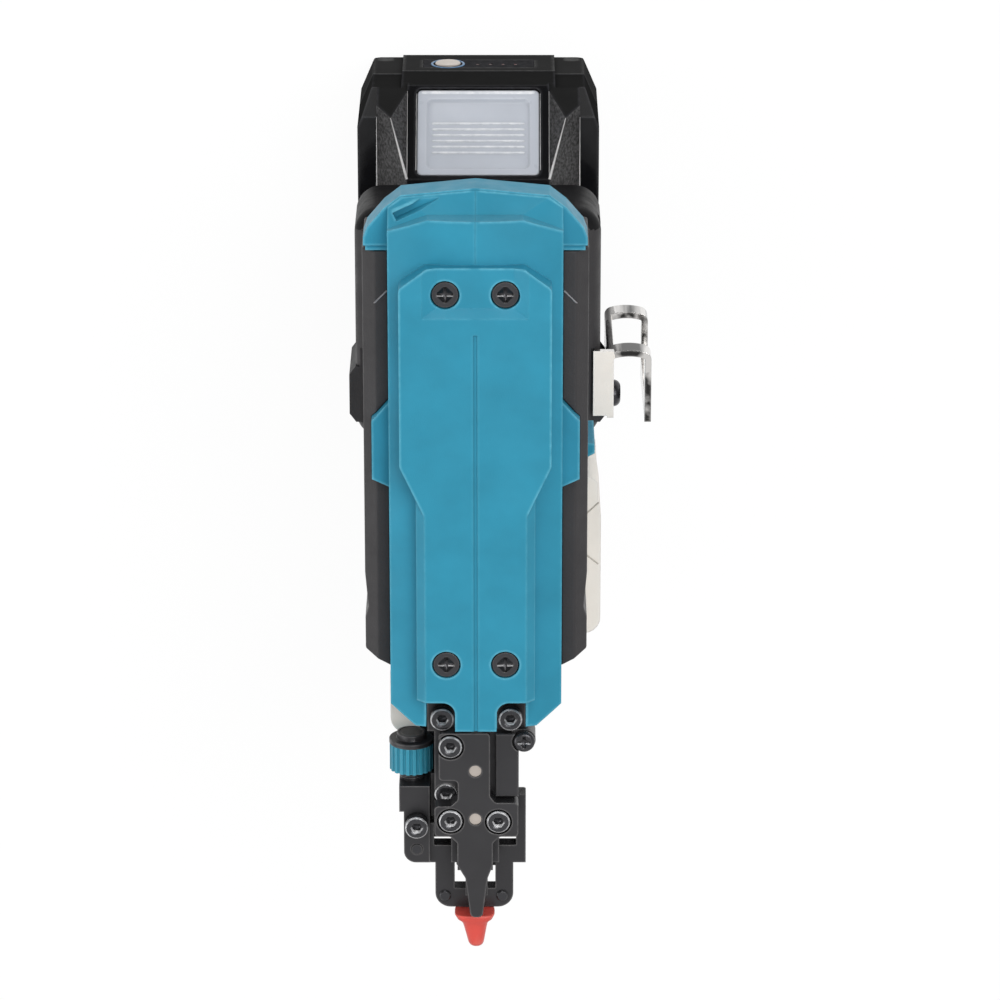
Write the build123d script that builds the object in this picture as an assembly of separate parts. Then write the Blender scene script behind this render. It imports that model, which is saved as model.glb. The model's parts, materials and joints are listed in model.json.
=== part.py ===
from build123d import *
import math
import os

# Cordless pin nailer standing on its battery, nose towards -Y, top cover towards +Z, millimetres.
# The origin is the middle of the battery's base.

# Clearances
slide_gap = 0.3
fit_gap = 0.05
run_gap = 0.08
reach = 400.0

# Battery pack
pack_width = 75.0
pack_length = 110.6
pack_seam = 22.0
pack_height = 48.0
pack_wall = 2.5
pack_corner = 7.0
pack_base_bevel = 2.0
pack_taper_side = 4.7
pack_taper_run = 11.0
pack_end_radius = 3.0
end_panel_half = 24.0
end_panel_step = 1.0
raised_length = 35.3
raised_lean = 4.0
raised_rise = 14.0
raised_half = 22.0
raised_foot_half = 31.5
slope_run = 23.8
slope_angle = 44.0
cheek_rise = 7.1
cheek_spread = 5.2
cheek_top = 8.8
shoulder_run = 7.8
shoulder_drop = 12.0
deck_front = -38.0
deck_rear = 16.0
deck_stem_half = 21.0
deck_head_half = 25.0
deck_stem_height = 3.0
deck_head_height = 3.5
cell_radius = 9.1
cell_length = 65.0
cell_pitch = 18.9
cell_margin = 8.0
pack_screw_side = 29.5
pack_screw_inset = 4.6
pack_screw_head = 2.9
pack_screw_well = 3.2

# Release button, gauge and check button on the battery's rear end
button_width = 38.4
button_length = 30.5
button_lead = 1.4
button_sink = 0.35
button_slab = 1.2
button_travel = 1.2
button_frame = 3.5
button_frame_height = 0.9
button_corner = 1.5
ridge_count = 5
ridge_pitch = 2.4
ridge_radius = 0.45
ridge_inset = 0.6
gauge_width = 35.0
gauge_low = 8.5
gauge_high = 17.5
gauge_recess = 0.8
lamp_count = 4
lamp_offset = -0.3
lamp_pitch = 4.0
lamp_radius = 0.9
check_offset = -9.7
check_radius = 4.0
check_proud = 0.5
check_travel = 0.6
check_depth = 2.6

# Foot and its hook bosses
foot_half = 37.5
foot_front = -44.0
foot_rear = 30.0
foot_step = 14.7
foot_height = 42.2
foot_corner = 8.0
foot_brow = 5.0
heel_half = 19.0
heel_reach = 1.5
heel_drop = 17.0
boss_proud = 2.0
boss_front = -38.2
boss_rear = -20.2
boss_chamfer = 2.7
boss_rise = 13.7
boss_height = 27.0
bay_half = 33.0
bay_front = -40.0
bay_rear = 17.0
bay_rise = 3.5
bay_height = 25.0
bridge_front = -74.5
bridge_depth = 23.0

# Terminals and controller
blade_offsets = (-12.0, 0.0, 12.0)
blade_thick = 1.0
blade_front = -33.0
blade_rear = -12.0
blade_drop = 5.0
blade_slot_half = 1.3
terminal_half = 20.0
terminal_front = -36.0
terminal_rear = -10.0
terminal_height = 9.0
terminal_flange = 2.5
board_half = 30.0
board_front = -37.0
board_rear = 13.0
board_rise = 8.0
board_thick = 1.6
spreader_length = 18.0
spreader_inset = 6.0
spreader_height = 4.0
capacitor_x = 12.0
capacitor_inset = 14.0
capacitor_radius = 5.0
capacitor_height = 9.0
post_radius = 3.0
post_inset = 4.0

# Belt hook
hook_thick = 2.0
hook_gap = 9.5
hook_rise = 0.5
hook_height = 45.8
hook_front = -36.0
hook_rear = -14.2
hook_round = 2.6
hook_sweep = 18.0
hook_tip = -37.3
hook_strip = 7.5
hook_flange_front = -35.4
hook_flange_rear = -14.5
hook_flange_reach = 4.3
hook_screw_y = -32.5
hook_screw_drop = 13.5
hook_screw_radius = 4.15
hook_screw_dome = 2.4
hook_shank = 2.0
spare_hole = 1.65
hook_shank_length = 8.0

# Handle, trigger and lock
handle_height = 87.5
handle_corner = 13.0
heel_y = 14.0
heel_depth = 44.0
heel_width = 37.0
waist_y = 17.0
waist_depth = 40.0
waist_width = 33.0
waist_lean = 3.0
palm_y = 22.0
palm_depth = 44.0
palm_width = 35.0
crown_y = 24.0
crown_depth = 52.0
crown_width = 41.0
handle_side = 18.0
handle_screw_y = 20.0
grip_thick = 1.6
grip_low = 11.0
grip_drop = 14.0
grip_front = 6.0
bore_half = 11.5
bore_front = 13.0
bore_rear = 33.0
bore_low = 11.0
bore_drop = 12.0
trigger_half = 6.5
trigger_pivot_y = 5.0
trigger_pivot_drop = 12.0
trigger_pin_radius = 2.0
trigger_pin_half = 14.0
trigger_slot_drop = 5.0
trigger_slot_height = 37.0
trigger_reach = 13.5
trigger_hollow = 11.0
trigger_toe = 14.5
trigger_length = 25.0
trigger_heel = 3.0
trigger_back = 4.0
switch_drop = 17.0
switch_height = 20.0
switch_plunger = 3.4
lock_y = 26.0
lock_drop = 6.5
lock_radius = 4.0
lock_half = 21.0
lock_travel = 4.0

# Barrel
barrel_half = 24.0
barrel_front = -78.0
barrel_rear = 58.0
barrel_wall_height = 55.0
roof_crown = 5.0
roof_lip = 46.0
nose_corner_x = 17.0
nose_corner_y = 5.7
notch_inner = 5.9
notch_outer = 14.0
notch_depth = 8.5
tab_proud = 4.9
tab_rear = 14.8
tab_front = -10.1
tab_bevel_rear = 5.5
tab_bevel_front = 2.3
tab_low = 37.0
tab_high = 48.0
lobe_outer = 33.9
lobe_rear = -11.0
lobe_front = -17.0
lobe_depth = 11.5

# End cap, side covers and top cover, heights above the barrel's floor
cap_low = 8.0
cap_middle = 36.0
cap_wing = 6.8
cap_side = 3.7
cap_turn = 6.7
cap_corner = 12.2
cap_shoulder = 15.8
cap_depth = 17.8
cap_low_wing = 3.0
cap_low_side = 1.0
cap_low_depth = 6.5
roof_facet_half = 20.4
roof_ridge_half = 13.0
roof_tail = 12.4
cap_lip = 1.5
cap_lip_step = 0.6
roof_rim = 53.0
cap_groove_floor = 47.2
side_cover_half = 31.3
side_cover_rear = 57.7
side_cover_front = -65.0
side_cover_low = 9.0
side_cover_top = 45.0
side_cover_bevel = 3.5
side_cover_waist = 0.9
side_cover_waist_rear = -38.0
side_cover_bump_rear = -48.0
side_cover_bump_front = -61.0
cover_face = 64.5
cover_rear = 58.1
cover_rear_half = 13.5
cover_half = 20.9
cover_shoulder_y = 52.6
cover_waist_y = 1.5
cover_neck_half = 16.5
cover_neck_y = -8.0
cover_front = -68.4
tongue_half = 5.8
tongue_front = -77.0
cover_bevel = 2.4
cover_round = 2.0
cover_notch_round = 3.5
pad_drop = 1.8
pad_front = 46.8
pad_slope = 2.6
pad_half = 10.5
pad_flank = 4.1
cover_groove = 1.0
cover_groove_depth = 0.35
cover_groove_rear = 39.5
cover_screw_x = 8.2
cover_screw_rear = 50.5
cover_screw_front = -56.9
cover_screw_head = 3.6
cover_screw_well = 4.0
cover_screw_depth = 2.8
cover_screw_shank = 1.8
cover_screw_length = 9.0

# Drive line
drive_rise = 38.0
stroke = 40.0
drive_bore = 15.0
bumper_front = -38.0
bumper_length = 10.0
head_length = 10.0
head_radius = 14.5
blade_half = 1.5
blade_low = 10.0
blade_high = 3.0
pin_half = 0.5
pin_reach = 72.0
lug_half = 2.0
lug_length = 4.0
lug_drop = 7.5
lug_lead = 1.0
lug_count = 3
channel_half = 3.0
guide_radius = 7.0
guide_reach = 35.0
guide_flange = 3.5
spring_outer = 13.5
spring_inner = 9.5

# Lifter, reduction gear and motor on one upright axis
motor_x = 9.0
motor_y = -53.0
lifter_pitch = 9.0
lifter_pin = 1.5
lifter_pin_height = 8.0
lifter_radius = 11.0
lifter_thick = 5.5
lifter_sink = 20.5
lifter_shaft = 4.0
chamber_inner = 11.6
chamber_wall = 2.0
reducer_radius = 19.5
reducer_height = 25.0
reducer_floor = 37.8
output_radius = 12.0
output_height = 8.0
leg_radius = 21.5
leg_corner = 14.0
leg_wall = 2.7
stator_yoke = 15.0
stator_inner = 11.6
pole_count = 6
pole_half = 3.0
stator_low = 8.0
stator_height = 20.0
rotor_radius = 11.0
rotor_shaft = 2.5
fan_radius = 16.0
fan_thick = 3.0
motor_bearing_radius = 6.5
motor_bearing_height = 4.0
lifter_bearing_radius = 9.0
lifter_bearing_height = 6.0
vent_count = 5
vent_pitch = 4.6
vent_height = 2.0
vent_width = 16.0
vent_low = 12.0

# Gear case
gear_left = -16.0
gear_right = 36.3
gear_front = -77.6
gear_rear = -28.4
gear_corner = 5.0
gear_floor = 37.5
gear_roof = 75.5
gear_flank_step = 1.0
gear_flank_rear = -40.8
gear_flank_slant = 6.0
deck_half = 24.0
snout_left = -25.0
snout_right = 12.0
snout_front = -97.0
snout_high = 18.0
snout_corner = 5.0

# Nose
nose_left = -12.0
nose_right = 11.0
nose_floor = 13.0
nose_front = -117.0
neck_left = -5.5
neck_right = 4.7
neck_front = -130.0
tip_half = 3.2
tip_front = -138.0
tip_floor = 2.5
plate_seat = 3.4
plate_thick = 5.5
plate_round = 1.2
plate_rear = -85.0
plate_left = -10.7
plate_right = 3.9
plate_notch_rear = -99.6
plate_notch_front = -107.6
plate_notch_right = -5.3
plate_lip = 1.0
plate_slant = 2.0
plate_neck_front = -126.0
plate_tip_front = -143.2
plate_tip_half = 1.7
plate_tip_round = 1.5
plate_tip_drop = 1.8
plate_screw_places = [(-7.4, -89.2), (-7.4, -112.2), (6.3, -112.4)]
dowel_places = [(-0.3, -96.7), (-0.3, -111.6)]
low_screw_place = (-8.7, -106.4)
low_screw_well = 3.6
wing_left = -16.5
wing_front = -112.0
wing_height = 3.5
chin_front = -124.8
chin_height = 4.4
chin_inset = 2.0
collar_front = -127.5
collar_side = 1.8
screw_head = 3.35
screw_head_height = 4.0
screw_head_bevel = 0.4
screw_shank = 2.0
screw_length = 10.0
mount_screw_length = 30.0
screw_well = 3.9
screw_well_depth = 3.6
hex_radius = 1.75
hex_depth = 2.2
mount_screw_x = 9.7
mount_screw_y = -81.5
low_screw_depth = 4.2
dowel_radius = 1.75
dowel_length = 5.0
guide_left = 5.4
guide_right = 12.1
guide_front = -105.5
guide_rear = -86.0
guide_height = 3.4
tab_screw_x = 13.6
tab_screw_y = -88.4
tab_radius = 3.3
tab_thick = 2.0
tab_screw_head = 3.1
tab_screw_height = 2.3
tab_screw_shank = 1.5

# Contact arm, adjuster and adapter
arm_left = -22.3
arm_step = 1.3
arm_right = -13.5
arm_rear = -106.0
arm_waist = -114.0
arm_front = -130.0
arm_low = 16.0
arm_high = 2.0
arm_round = 3.5
shaft_x = -18.8
shaft_drop = 9.0
shaft_radius = 3.2
shaft_rear = -91.8
wheel_radius = 6.3
wheel_front = -103.0
wheel_rear = -95.0
wheel_grooves = 20
wheel_groove_radius = 0.5
flange_radius = 6.4
flange_thick = 1.5
hub_radius = 4.2
hub_length = 1.8
yoke_left = -12.0
yoke_right = 10.6
yoke_rear = -125.0
yoke_front = -144.6
yoke_shoulder = -130.5
yoke_low = 8.0
yoke_high = 3.2
yoke_round = 4.5
web_rear = -118.0
fork_left = -6.4
fork_right = 5.4
fork_front = -138.7
finger_inner = 11.4
finger_outer = 14.2
finger_rear = -109.0
rail_thick = 1.2
rail_low = 10.0
rail_high = 6.0
contact_screw_y = -117.5
contact_pin_y = -125.8
contact_pin_radius = 1.6
rivet_left = -9.2
rivet_right = 7.4
rivet_y = -141.0
rivet_radius = 1.7
rivet_height = 0.7
adapter_x = -0.6
adapter_half = 5.8
adapter_collar = 3.0
adapter_draft = 0.7
adapter_taper_half = 4.0
adapter_tip_half = 1.9
adapter_front = -154.3
adapter_low = 6.0
adapter_high = 3.1
adapter_bore = 1.2

# Magazine
magazine_half = 6.0
magazine_front = -136.0
magazine_drop = 45.5
pin_slot = 0.5
pusher_depth = 3.0
pusher_front = -130.0
pusher_rear = -104.0
pusher_height = 9.7
pusher_top_gap = 3.0
door_window_half = 1.6
door_window_sill = 25.0
door_window_head = 23.0
door_grip_height = 14.0
door_grip_proud = 3.0
pusher_spring_radius = 1.1
pusher_spring_bore = 0.6
bracket_drop = 24.5
bracket_height = 14.0
latch_pin_radius = 1.2
latch_y = -93.0
latch_drop = 30.5
latch_toe = 1.0
ear_thick = 1.6
ear_radius = 3.0
latch_thick = 3.6

# Places that follow from the sizes above
pack_side = pack_width / 2
pack_end = pack_length / 2
pack_screw_end = pack_end - pack_screw_inset
cells_per_row = int((pack_length - 2 * cell_margin) / cell_pitch)
raised_front = pack_end - raised_length
raised_top = pack_height + raised_rise
slope_start = pack_end - slope_run
shoulder_start = pack_end - shoulder_run
shoulder_end = pack_height - shoulder_drop
deck_top = pack_height + deck_stem_height + deck_head_height
foot_floor = pack_height + slide_gap
foot_roof = foot_floor + foot_height
barrel_floor = foot_roof + handle_height
roof_edge = barrel_floor + barrel_wall_height
drive_z = barrel_floor + drive_rise
bay_floor = deck_top + bay_rise
boss_face = foot_half + boss_proud
boss_low = foot_floor + boss_rise
boss_high = boss_low + boss_height
hook_high = boss_high + hook_rise + hook_thick
hook_low = hook_high - hook_height
hook_screw_z = hook_high - hook_screw_drop
gear_base_z = foot_roof + gear_floor
gear_roof_z = foot_roof + gear_roof
plate_z = drive_z + plate_seat
plate_top = plate_z + plate_thick
nose_base_z = drive_z - nose_floor
shaft_z = drive_z - shaft_drop
arm_top = drive_z - arm_high
yoke_top = drive_z - yoke_high
bumper_rear = bumper_front + bumper_length
head_rear = bumper_rear + head_length
snout_top = barrel_floor + snout_high
lifter_floor = drive_z - lifter_sink - lifter_thick
lifter_top = lifter_floor + lifter_thick
trigger_pivot_z = barrel_floor - trigger_pivot_drop
magazine_rear = snout_front - slide_gap
magazine_low = foot_roof - magazine_drop
bracket_low = foot_roof - bracket_drop
latch_z = foot_roof - latch_drop
cover_top = barrel_floor + cover_face

# Right half of the end cap's plan at its lower edge, at its widest and at the rim of the roof
cap_low_half = barrel_half + cap_low_wing
cap_low_plan = [
    (cap_low_half, barrel_rear),
    (cap_low_half, barrel_rear + cap_low_side),
    (cap_low_half - 1.0, barrel_rear + cap_low_side + 1.5),
    (cap_low_half - 4.0, barrel_rear + cap_low_side + 3.0),
    (cap_low_half - 9.0, barrel_rear + cap_low_depth - 1.0),
    (0, barrel_rear + cap_low_depth),
]
cap_half = barrel_half + cap_wing
cap_plan = [
    (cap_half, barrel_rear),
    (cap_half, barrel_rear + cap_side),
    (cap_half - 1.1, barrel_rear + cap_turn),
    (cap_half - 5.8, barrel_rear + cap_corner),
    (roof_facet_half, barrel_rear + cap_shoulder),
    (0, barrel_rear + cap_depth),
]
roof_lip_plan = [
    (barrel_half, barrel_front),
    (barrel_half, barrel_rear + cap_corner + 0.4),
    (roof_facet_half, barrel_rear + cap_shoulder - 0.4),
    (0, barrel_rear + cap_depth - 0.4),
]
roof_rim_plan = [
    (barrel_half, barrel_front),
    (barrel_half, barrel_rear + roof_tail - 4.1),
    (roof_ridge_half, barrel_rear + roof_tail),
    (0, barrel_rear + roof_tail),
]
cap_groove_plan = [
    (-10.0, barrel_rear + cap_depth - 0.2),
    (-10.0, barrel_rear + cap_depth - 2.4),
    (-21.5, barrel_rear + cap_corner - 2.1),
    (-22.6, barrel_rear + cap_corner - 0.6),
]

# Plan of the handle at five heights: rise, middle in Y, depth, width
handle_sections = [
    (0.0, heel_y, heel_depth, heel_width),
    (0.16 * handle_height, waist_y, waist_depth, waist_width),
    (0.48 * handle_height, waist_y + waist_lean, waist_depth, waist_width),
    (0.80 * handle_height, palm_y, palm_depth, palm_width),
    (handle_height, crown_y, crown_depth, crown_width),
]


def span_box(x, y, z):
    """Box between two limits on each axis."""
    size = [high - low for low, high in (x, y, z)]
    middle = [(low + high) / 2 for low, high in (x, y, z)]
    return Pos(*middle) * Box(*size)


def prism_x(outline, x):
    """Outline in Y and Z, carried from one X to another."""
    points = [(x[0], y, z) for y, z in outline]
    return extrude(make_face(Polyline(*points, close=True)), x[1] - x[0], dir=(1, 0, 0))


def prism_y(outline, y):
    """Outline in X and Z, carried from one Y to another."""
    points = [(x, y[0], z) for x, z in outline]
    return extrude(make_face(Polyline(*points, close=True)), y[1] - y[0], dir=(0, 1, 0))


def prism_z(outline, z):
    """Outline in X and Y, raised from one Z to another."""
    points = [(x, y, z[0]) for x, y in outline]
    return extrude(make_face(Polyline(*points, close=True)), z[1] - z[0], dir=(0, 0, 1))


def rod_x(y, z, radius, x):
    """Round bar along X."""
    return extrude(Plane((x[0], y, z), z_dir=(1, 0, 0)) * Circle(radius), x[1] - x[0])


def rod_y(x, z, radius, y):
    """Round bar along Y."""
    return extrude(Plane((x, y[0], z), z_dir=(0, 1, 0)) * Circle(radius), y[1] - y[0])


def rod_z(x, y, radius, z):
    """Round bar along Z."""
    return extrude(Plane((x, y, z[0])) * Circle(radius), z[1] - z[0])


def rounded_block(x, y, z, corner):
    """Block with rounded upright corners."""
    middle = ((x[0] + x[1]) / 2, (y[0] + y[1]) / 2, z[0])
    plan = RectangleRounded(x[1] - x[0], y[1] - y[0], corner)
    return extrude(Plane(middle) * plan, z[1] - z[0])


def both_sides(outline):
    """Outline given for the right side, closed by its mirror image on the left."""
    return outline + [(-x, y) for x, y in reversed(outline) if x != 0]


def tapered(lower, low, upper, high):
    """Solid between two outlines of equal point count, given for the right side."""
    sections = []
    for outline, z in ((lower, low), (upper, high)):
        points = [(x, y, z) for x, y in both_sides(outline)]
        sections.append(make_face(Polyline(*points, close=True)))
    return loft(sections, ruled=True)


def left_half(solid):
    """Part of a solid on the left of the centre line."""
    return solid & span_box((-reach, 0), (-reach, reach), (-reach, reach))


def right_half(solid):
    """Part of a solid on the right of the centre line."""
    return solid & span_box((0, reach), (-reach, reach), (-reach, reach))


def slope_height(y):
    """Height of the battery's sloping rear end above a Y."""
    return raised_top - (y - slope_start) * math.tan(math.radians(slope_angle))


# The battery's slope as a plane: X across, Y up the slope, Z out of it
slope_out = (0, math.sin(math.radians(slope_angle)), math.cos(math.radians(slope_angle)))
slope_plane = Plane((0, slope_start, raised_top), x_dir=(-1, 0, 0), z_dir=slope_out)
button_top = -button_lead
button_foot = button_top - button_length


def slope_block(half, along, out, corner):
    """Block on the slope with rounded corners, centred across it."""
    plan = RectangleRounded(2 * half, along[1] - along[0], corner)
    start = slope_plane * Plane((0, (along[0] + along[1]) / 2, out[0]))
    return extrude(start * plan, out[1] - out[0])


def pack_plan():
    """Plan of the pack: round front corners, tapered corners at the button end."""
    outline = [
        (pack_side, -pack_end),
        (pack_side, pack_end - pack_taper_run),
        (pack_side - pack_taper_side, pack_end),
    ]
    block = prism_z(both_sides(outline), (0, raised_top))
    block = fillet(block.edges().filter_by(Axis.Z).group_by(Axis.Y)[0], pack_corner)
    return fillet(block.edges().filter_by(Axis.Z).group_by(Axis.Y)[-1], pack_end_radius)


def end_steps():
    """Strips taken off the end face on both sides of its middle panel."""
    depth = (pack_end - end_panel_step, reach)
    right = span_box((end_panel_half, reach), depth, (-reach, reach))
    return right + span_box((-reach, -end_panel_half), depth, (-reach, reach))


def cell_room():
    """Hollow of the pack that holds the two rows of cells."""
    half_length = cell_pitch * (cells_per_row - 1) / 2 + cell_radius + slide_gap
    top = pack_wall + 4 * cell_radius + 2 * slide_gap
    half_width = cell_length / 2 + slide_gap
    return span_box((-half_width, half_width), (-half_length, half_length), (pack_wall, top))


def pack_screw_places():
    """Plan places of the four case screws."""
    return [(x, y) for x in (-pack_screw_side, pack_screw_side) for y in (-pack_screw_end, pack_screw_end)]


def battery_lower_case():
    """Tray with the flat base."""
    tray = pack_plan() & span_box((-reach, reach), (-reach, reach), (0, pack_seam))
    tray = chamfer(tray.faces().sort_by(Axis.Z)[0].edges(), pack_base_bevel)
    tray -= cell_room() + end_steps()
    for x, y in pack_screw_places():
        tray -= rod_z(x, y, pack_screw_well, (0, cover_screw_depth + pack_wall))
        tray -= rod_z(x, y, cover_screw_shank + fit_gap, (0, pack_seam))
    gauge_bottom = pack_end - gauge_recess
    tray -= span_box((-gauge_width / 2, gauge_width / 2), (gauge_bottom, reach), (gauge_low, gauge_high))
    check_z = (gauge_low + gauge_high) / 2
    check_floor = pack_end - check_depth - check_travel - slide_gap
    tray -= rod_y(check_offset, check_z, check_radius + slide_gap, (check_floor, pack_end))
    return tray


def ramp_cut():
    """Space over the pack's rear ramp, spreading upwards between the two cheeks."""
    right = [(raised_half, 0), (raised_half + pack_side, -cheek_rise / cheek_spread * pack_side)]
    section = make_face(Polyline(*both_sides(right), close=True))
    down_slope = Plane((0, slope_start, raised_top), x_dir=(1, 0, 0), z_dir=(0, slope_out[2], -slope_out[1]))
    return down_slope * extrude(section, pack_length / 2, both=True)


def battery_upper_case():
    """Top of the pack: flat deck with its T-shaped slide, a ramp for the button between two raised cheeks."""
    body = prism_x([
        (-pack_end, pack_seam), (-pack_end, pack_height), (shoulder_start, pack_height),
        (pack_end, shoulder_end), (pack_end, pack_seam),
    ], (-pack_side, pack_side))
    raised_lip = raised_front + raised_lean
    ramp = prism_x([
        (raised_front, pack_seam), (raised_front, pack_height), (raised_lip, raised_top),
        (slope_start, raised_top), (pack_end, slope_height(pack_end)), (pack_end, pack_seam),
    ], (-raised_half, raised_half))
    cheeks = prism_y([
        (-raised_foot_half, pack_seam), (raised_foot_half, pack_seam),
        (raised_foot_half, pack_height), (raised_half, raised_top),
        (-raised_half, raised_top), (-raised_foot_half, pack_height),
    ], (raised_front, pack_end))
    cheeks &= prism_x([
        (raised_front, pack_seam), (raised_front, pack_height), (raised_lip, raised_top),
        (pack_end - cheek_top, raised_top), (pack_end, shoulder_end), (pack_end, pack_seam),
    ], (-pack_side, pack_side))
    case = (body + ramp + cheeks - ramp_cut()) & pack_plan()
    deck_stem = span_box((-deck_stem_half, deck_stem_half), (deck_front, deck_rear),
                         (pack_height, pack_height + deck_stem_height))
    deck_head = span_box((-deck_head_half, deck_head_half), (deck_front, deck_rear),
                         (pack_height + deck_stem_height, deck_top))
    case += deck_stem + deck_head
    for offset in blade_offsets:
        slot = span_box((offset - blade_slot_half, offset + blade_slot_half),
                        (deck_front, blade_rear + slide_gap), (deck_top - blade_drop - slide_gap, deck_top))
        case -= slot
    case -= cell_room() + end_steps()
    for x, y in pack_screw_places():
        case -= rod_z(x, y, cover_screw_shank + fit_gap, (pack_seam, pack_seam + cover_screw_length))
    half = button_width / 2
    pocket = button_sink + button_frame_height + button_slab + button_travel + slide_gap
    return case - slope_block(half, (button_foot, button_top), (-pocket, pocket), button_corner + slide_gap)


def battery_cells():
    """Two rows of round cells across the pack."""
    cells = Part()
    for row in range(2):
        z = pack_wall + slide_gap + cell_radius * (1 + 2 * row)
        for column in range(cells_per_row):
            y = (column - (cells_per_row - 1) / 2) * cell_pitch
            cells += rod_x(y, z, cell_radius - fit_gap, (-cell_length / 2, cell_length / 2))
    return cells


def pack_screws():
    """Case screws, driven from below."""
    screws = Part()
    for x, y in pack_screw_places():
        head = rod_z(x, y, pack_screw_head, (pack_wall, pack_wall + cover_screw_depth))
        screws += head + rod_z(x, y, cover_screw_shank, (pack_wall, pack_seam + cover_screw_length))
    return screws


def release_button():
    """Dished push panel in the ramp, with a raised frame and finger ridges."""
    half = button_width / 2 - slide_gap
    foot = button_foot + slide_gap
    top = button_top - slide_gap
    face = -button_sink - button_frame_height
    panel = slope_block(half, (foot, top), (face - button_slab, -button_sink), button_corner)
    dish_half = half - button_frame
    panel -= slope_block(dish_half, (foot + button_frame, top - button_frame), (face, 0), button_corner)
    ridge_half = dish_half - ridge_inset
    for ridge in range(ridge_count):
        along = (foot + top) / 2 + (ridge - (ridge_count - 1) / 2) * ridge_pitch
        start = slope_plane * Plane((-ridge_half, along, face), z_dir=(1, 0, 0))
        panel += extrude(start * Circle(ridge_radius), 2 * ridge_half)
    return panel


def charge_gauge():
    """Strip on the end face with four small lamp windows and the hole of the check button."""
    plate = span_box((-gauge_width / 2 + fit_gap, gauge_width / 2 - fit_gap),
                     (pack_end - gauge_recess, pack_end - fit_gap),
                     (gauge_low + fit_gap, gauge_high - fit_gap))
    middle = (gauge_low + gauge_high) / 2
    lamp_floor = pack_end - gauge_recess / 2
    for lamp in range(lamp_count):
        plate -= rod_y(lamp_offset + lamp * lamp_pitch, middle, lamp_radius, (lamp_floor, pack_end))
    return plate - rod_y(check_offset, middle, check_radius + slide_gap, (0, pack_end))


def check_button():
    """Round button in the gauge strip."""
    z = (gauge_low + gauge_high) / 2
    button = rod_y(check_offset, z, check_radius, (pack_end - check_depth, pack_end + check_proud))
    return chamfer(button.edges().sort_by(Axis.Y)[-1], check_proud / 2)


def foot_solid():
    """Foot over the battery, the heel under the handle and the bridge under the motor."""
    step = foot_floor + foot_step
    body = prism_x([
        (foot_front, foot_floor), (raised_front - 2 * slide_gap, foot_floor),
        (raised_front + raised_lean - slide_gap, step), (foot_rear, step),
        (foot_rear, foot_roof), (foot_front, foot_roof),
    ], (-foot_half, foot_half))
    upright = body.edges().filter_by(Axis.Z)
    body = fillet(upright.group_by(Axis.Y)[0] + upright.group_by(Axis.Y)[-1], foot_corner)
    body = fillet(body.faces().sort_by(Axis.Z)[-1].edges(), foot_brow)
    heel = rounded_block((-heel_half, heel_half), (0, foot_rear + heel_reach),
                         (foot_roof - heel_drop, foot_roof), foot_corner)
    bridge = rounded_block((motor_x - leg_radius, motor_x + leg_radius), (bridge_front, 0),
                           (foot_roof - bridge_depth, foot_roof), leg_corner)
    foot = body + heel + bridge
    for side in (-1, 1):
        outline = [
            (side * foot_half, boss_front), (side * boss_face, boss_front + boss_chamfer),
            (side * boss_face, boss_rear - boss_chamfer), (side * foot_half, boss_rear),
            (side * (foot_half - foot_corner), boss_rear), (side * (foot_half - foot_corner), boss_front),
        ]
        foot += prism_z(outline, (boss_low, boss_high))
        flange_seat = sorted((side * (boss_face - hook_flange_reach - 2 * slide_gap), side * reach))
        foot -= span_box(flange_seat, (boss_front, hook_flange_rear + slide_gap), (boss_high, reach))
    hole_depth = boss_face - hook_shank_length
    foot -= rod_x(hook_screw_y, hook_screw_z, hook_shank + fit_gap, (hole_depth, boss_face))
    foot -= rod_x(hook_screw_y, hook_screw_z, spare_hole, (-boss_face, -hole_depth))
    stem = deck_stem_half + slide_gap
    head = deck_head_half + slide_gap
    ledge = pack_height + deck_stem_height - slide_gap
    ceiling = deck_top + slide_gap
    foot -= span_box((-stem, stem), (deck_front - slide_gap, reach), (0, ceiling))
    foot -= span_box((-head, head), (deck_front - slide_gap, reach), (ledge, ceiling))
    bay = span_box((-bay_half, bay_half), (bay_front, bay_rear), (bay_floor, bay_floor + bay_height))
    well = span_box((-terminal_half - slide_gap, terminal_half + slide_gap),
                    (terminal_front - slide_gap, terminal_rear + slide_gap), (foot_floor, bay_floor))
    foot -= bay + well
    for x, y in board_posts():
        foot += rod_z(x, y, post_radius, (bay_floor, bay_floor + board_rise))
    return foot - housing_screw_holes()


def board_posts():
    """Plan places of the posts under the controller board."""
    half = board_half - post_inset
    return [(x, y) for x in (-half, half) for y in (board_front + post_inset, board_rear - post_inset)]


def housing_screw_places():
    """Face in X, Y and Z of the screws that draw the halves together, driven from the right."""
    return [
        (foot_half, foot_rear - foot_corner, foot_roof - foot_brow - cover_screw_well),
        (motor_x + leg_radius, motor_y - foot_corner, foot_roof - bridge_depth / 2),
        (handle_side, handle_screw_y, foot_roof + bore_low / 2),
        (handle_side, handle_screw_y + foot_corner * 2, barrel_floor - cover_screw_length + slide_gap),
    ]


def housing_screw_holes():
    """Wells and through holes of the housing screws."""
    holes = Part()
    for face_x, y, z in housing_screw_places():
        holes += rod_x(y, z, cover_screw_well, (face_x - cover_screw_depth - pack_wall, reach))
        holes += rod_x(y, z, cover_screw_shank + fit_gap, (-cover_screw_length, face_x))
    return holes


def terminal_block():
    """Contact carrier hung in the foot's floor by its flange."""
    floor = deck_top + 2 * slide_gap
    body = span_box((-terminal_half, terminal_half), (terminal_front, terminal_rear),
                    (floor, floor + terminal_height))
    flange = span_box((-terminal_half - terminal_flange, terminal_half + terminal_flange),
                      (terminal_front - terminal_flange, terminal_rear + terminal_flange),
                      (bay_floor, bay_floor + terminal_flange))
    return body + flange


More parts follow.
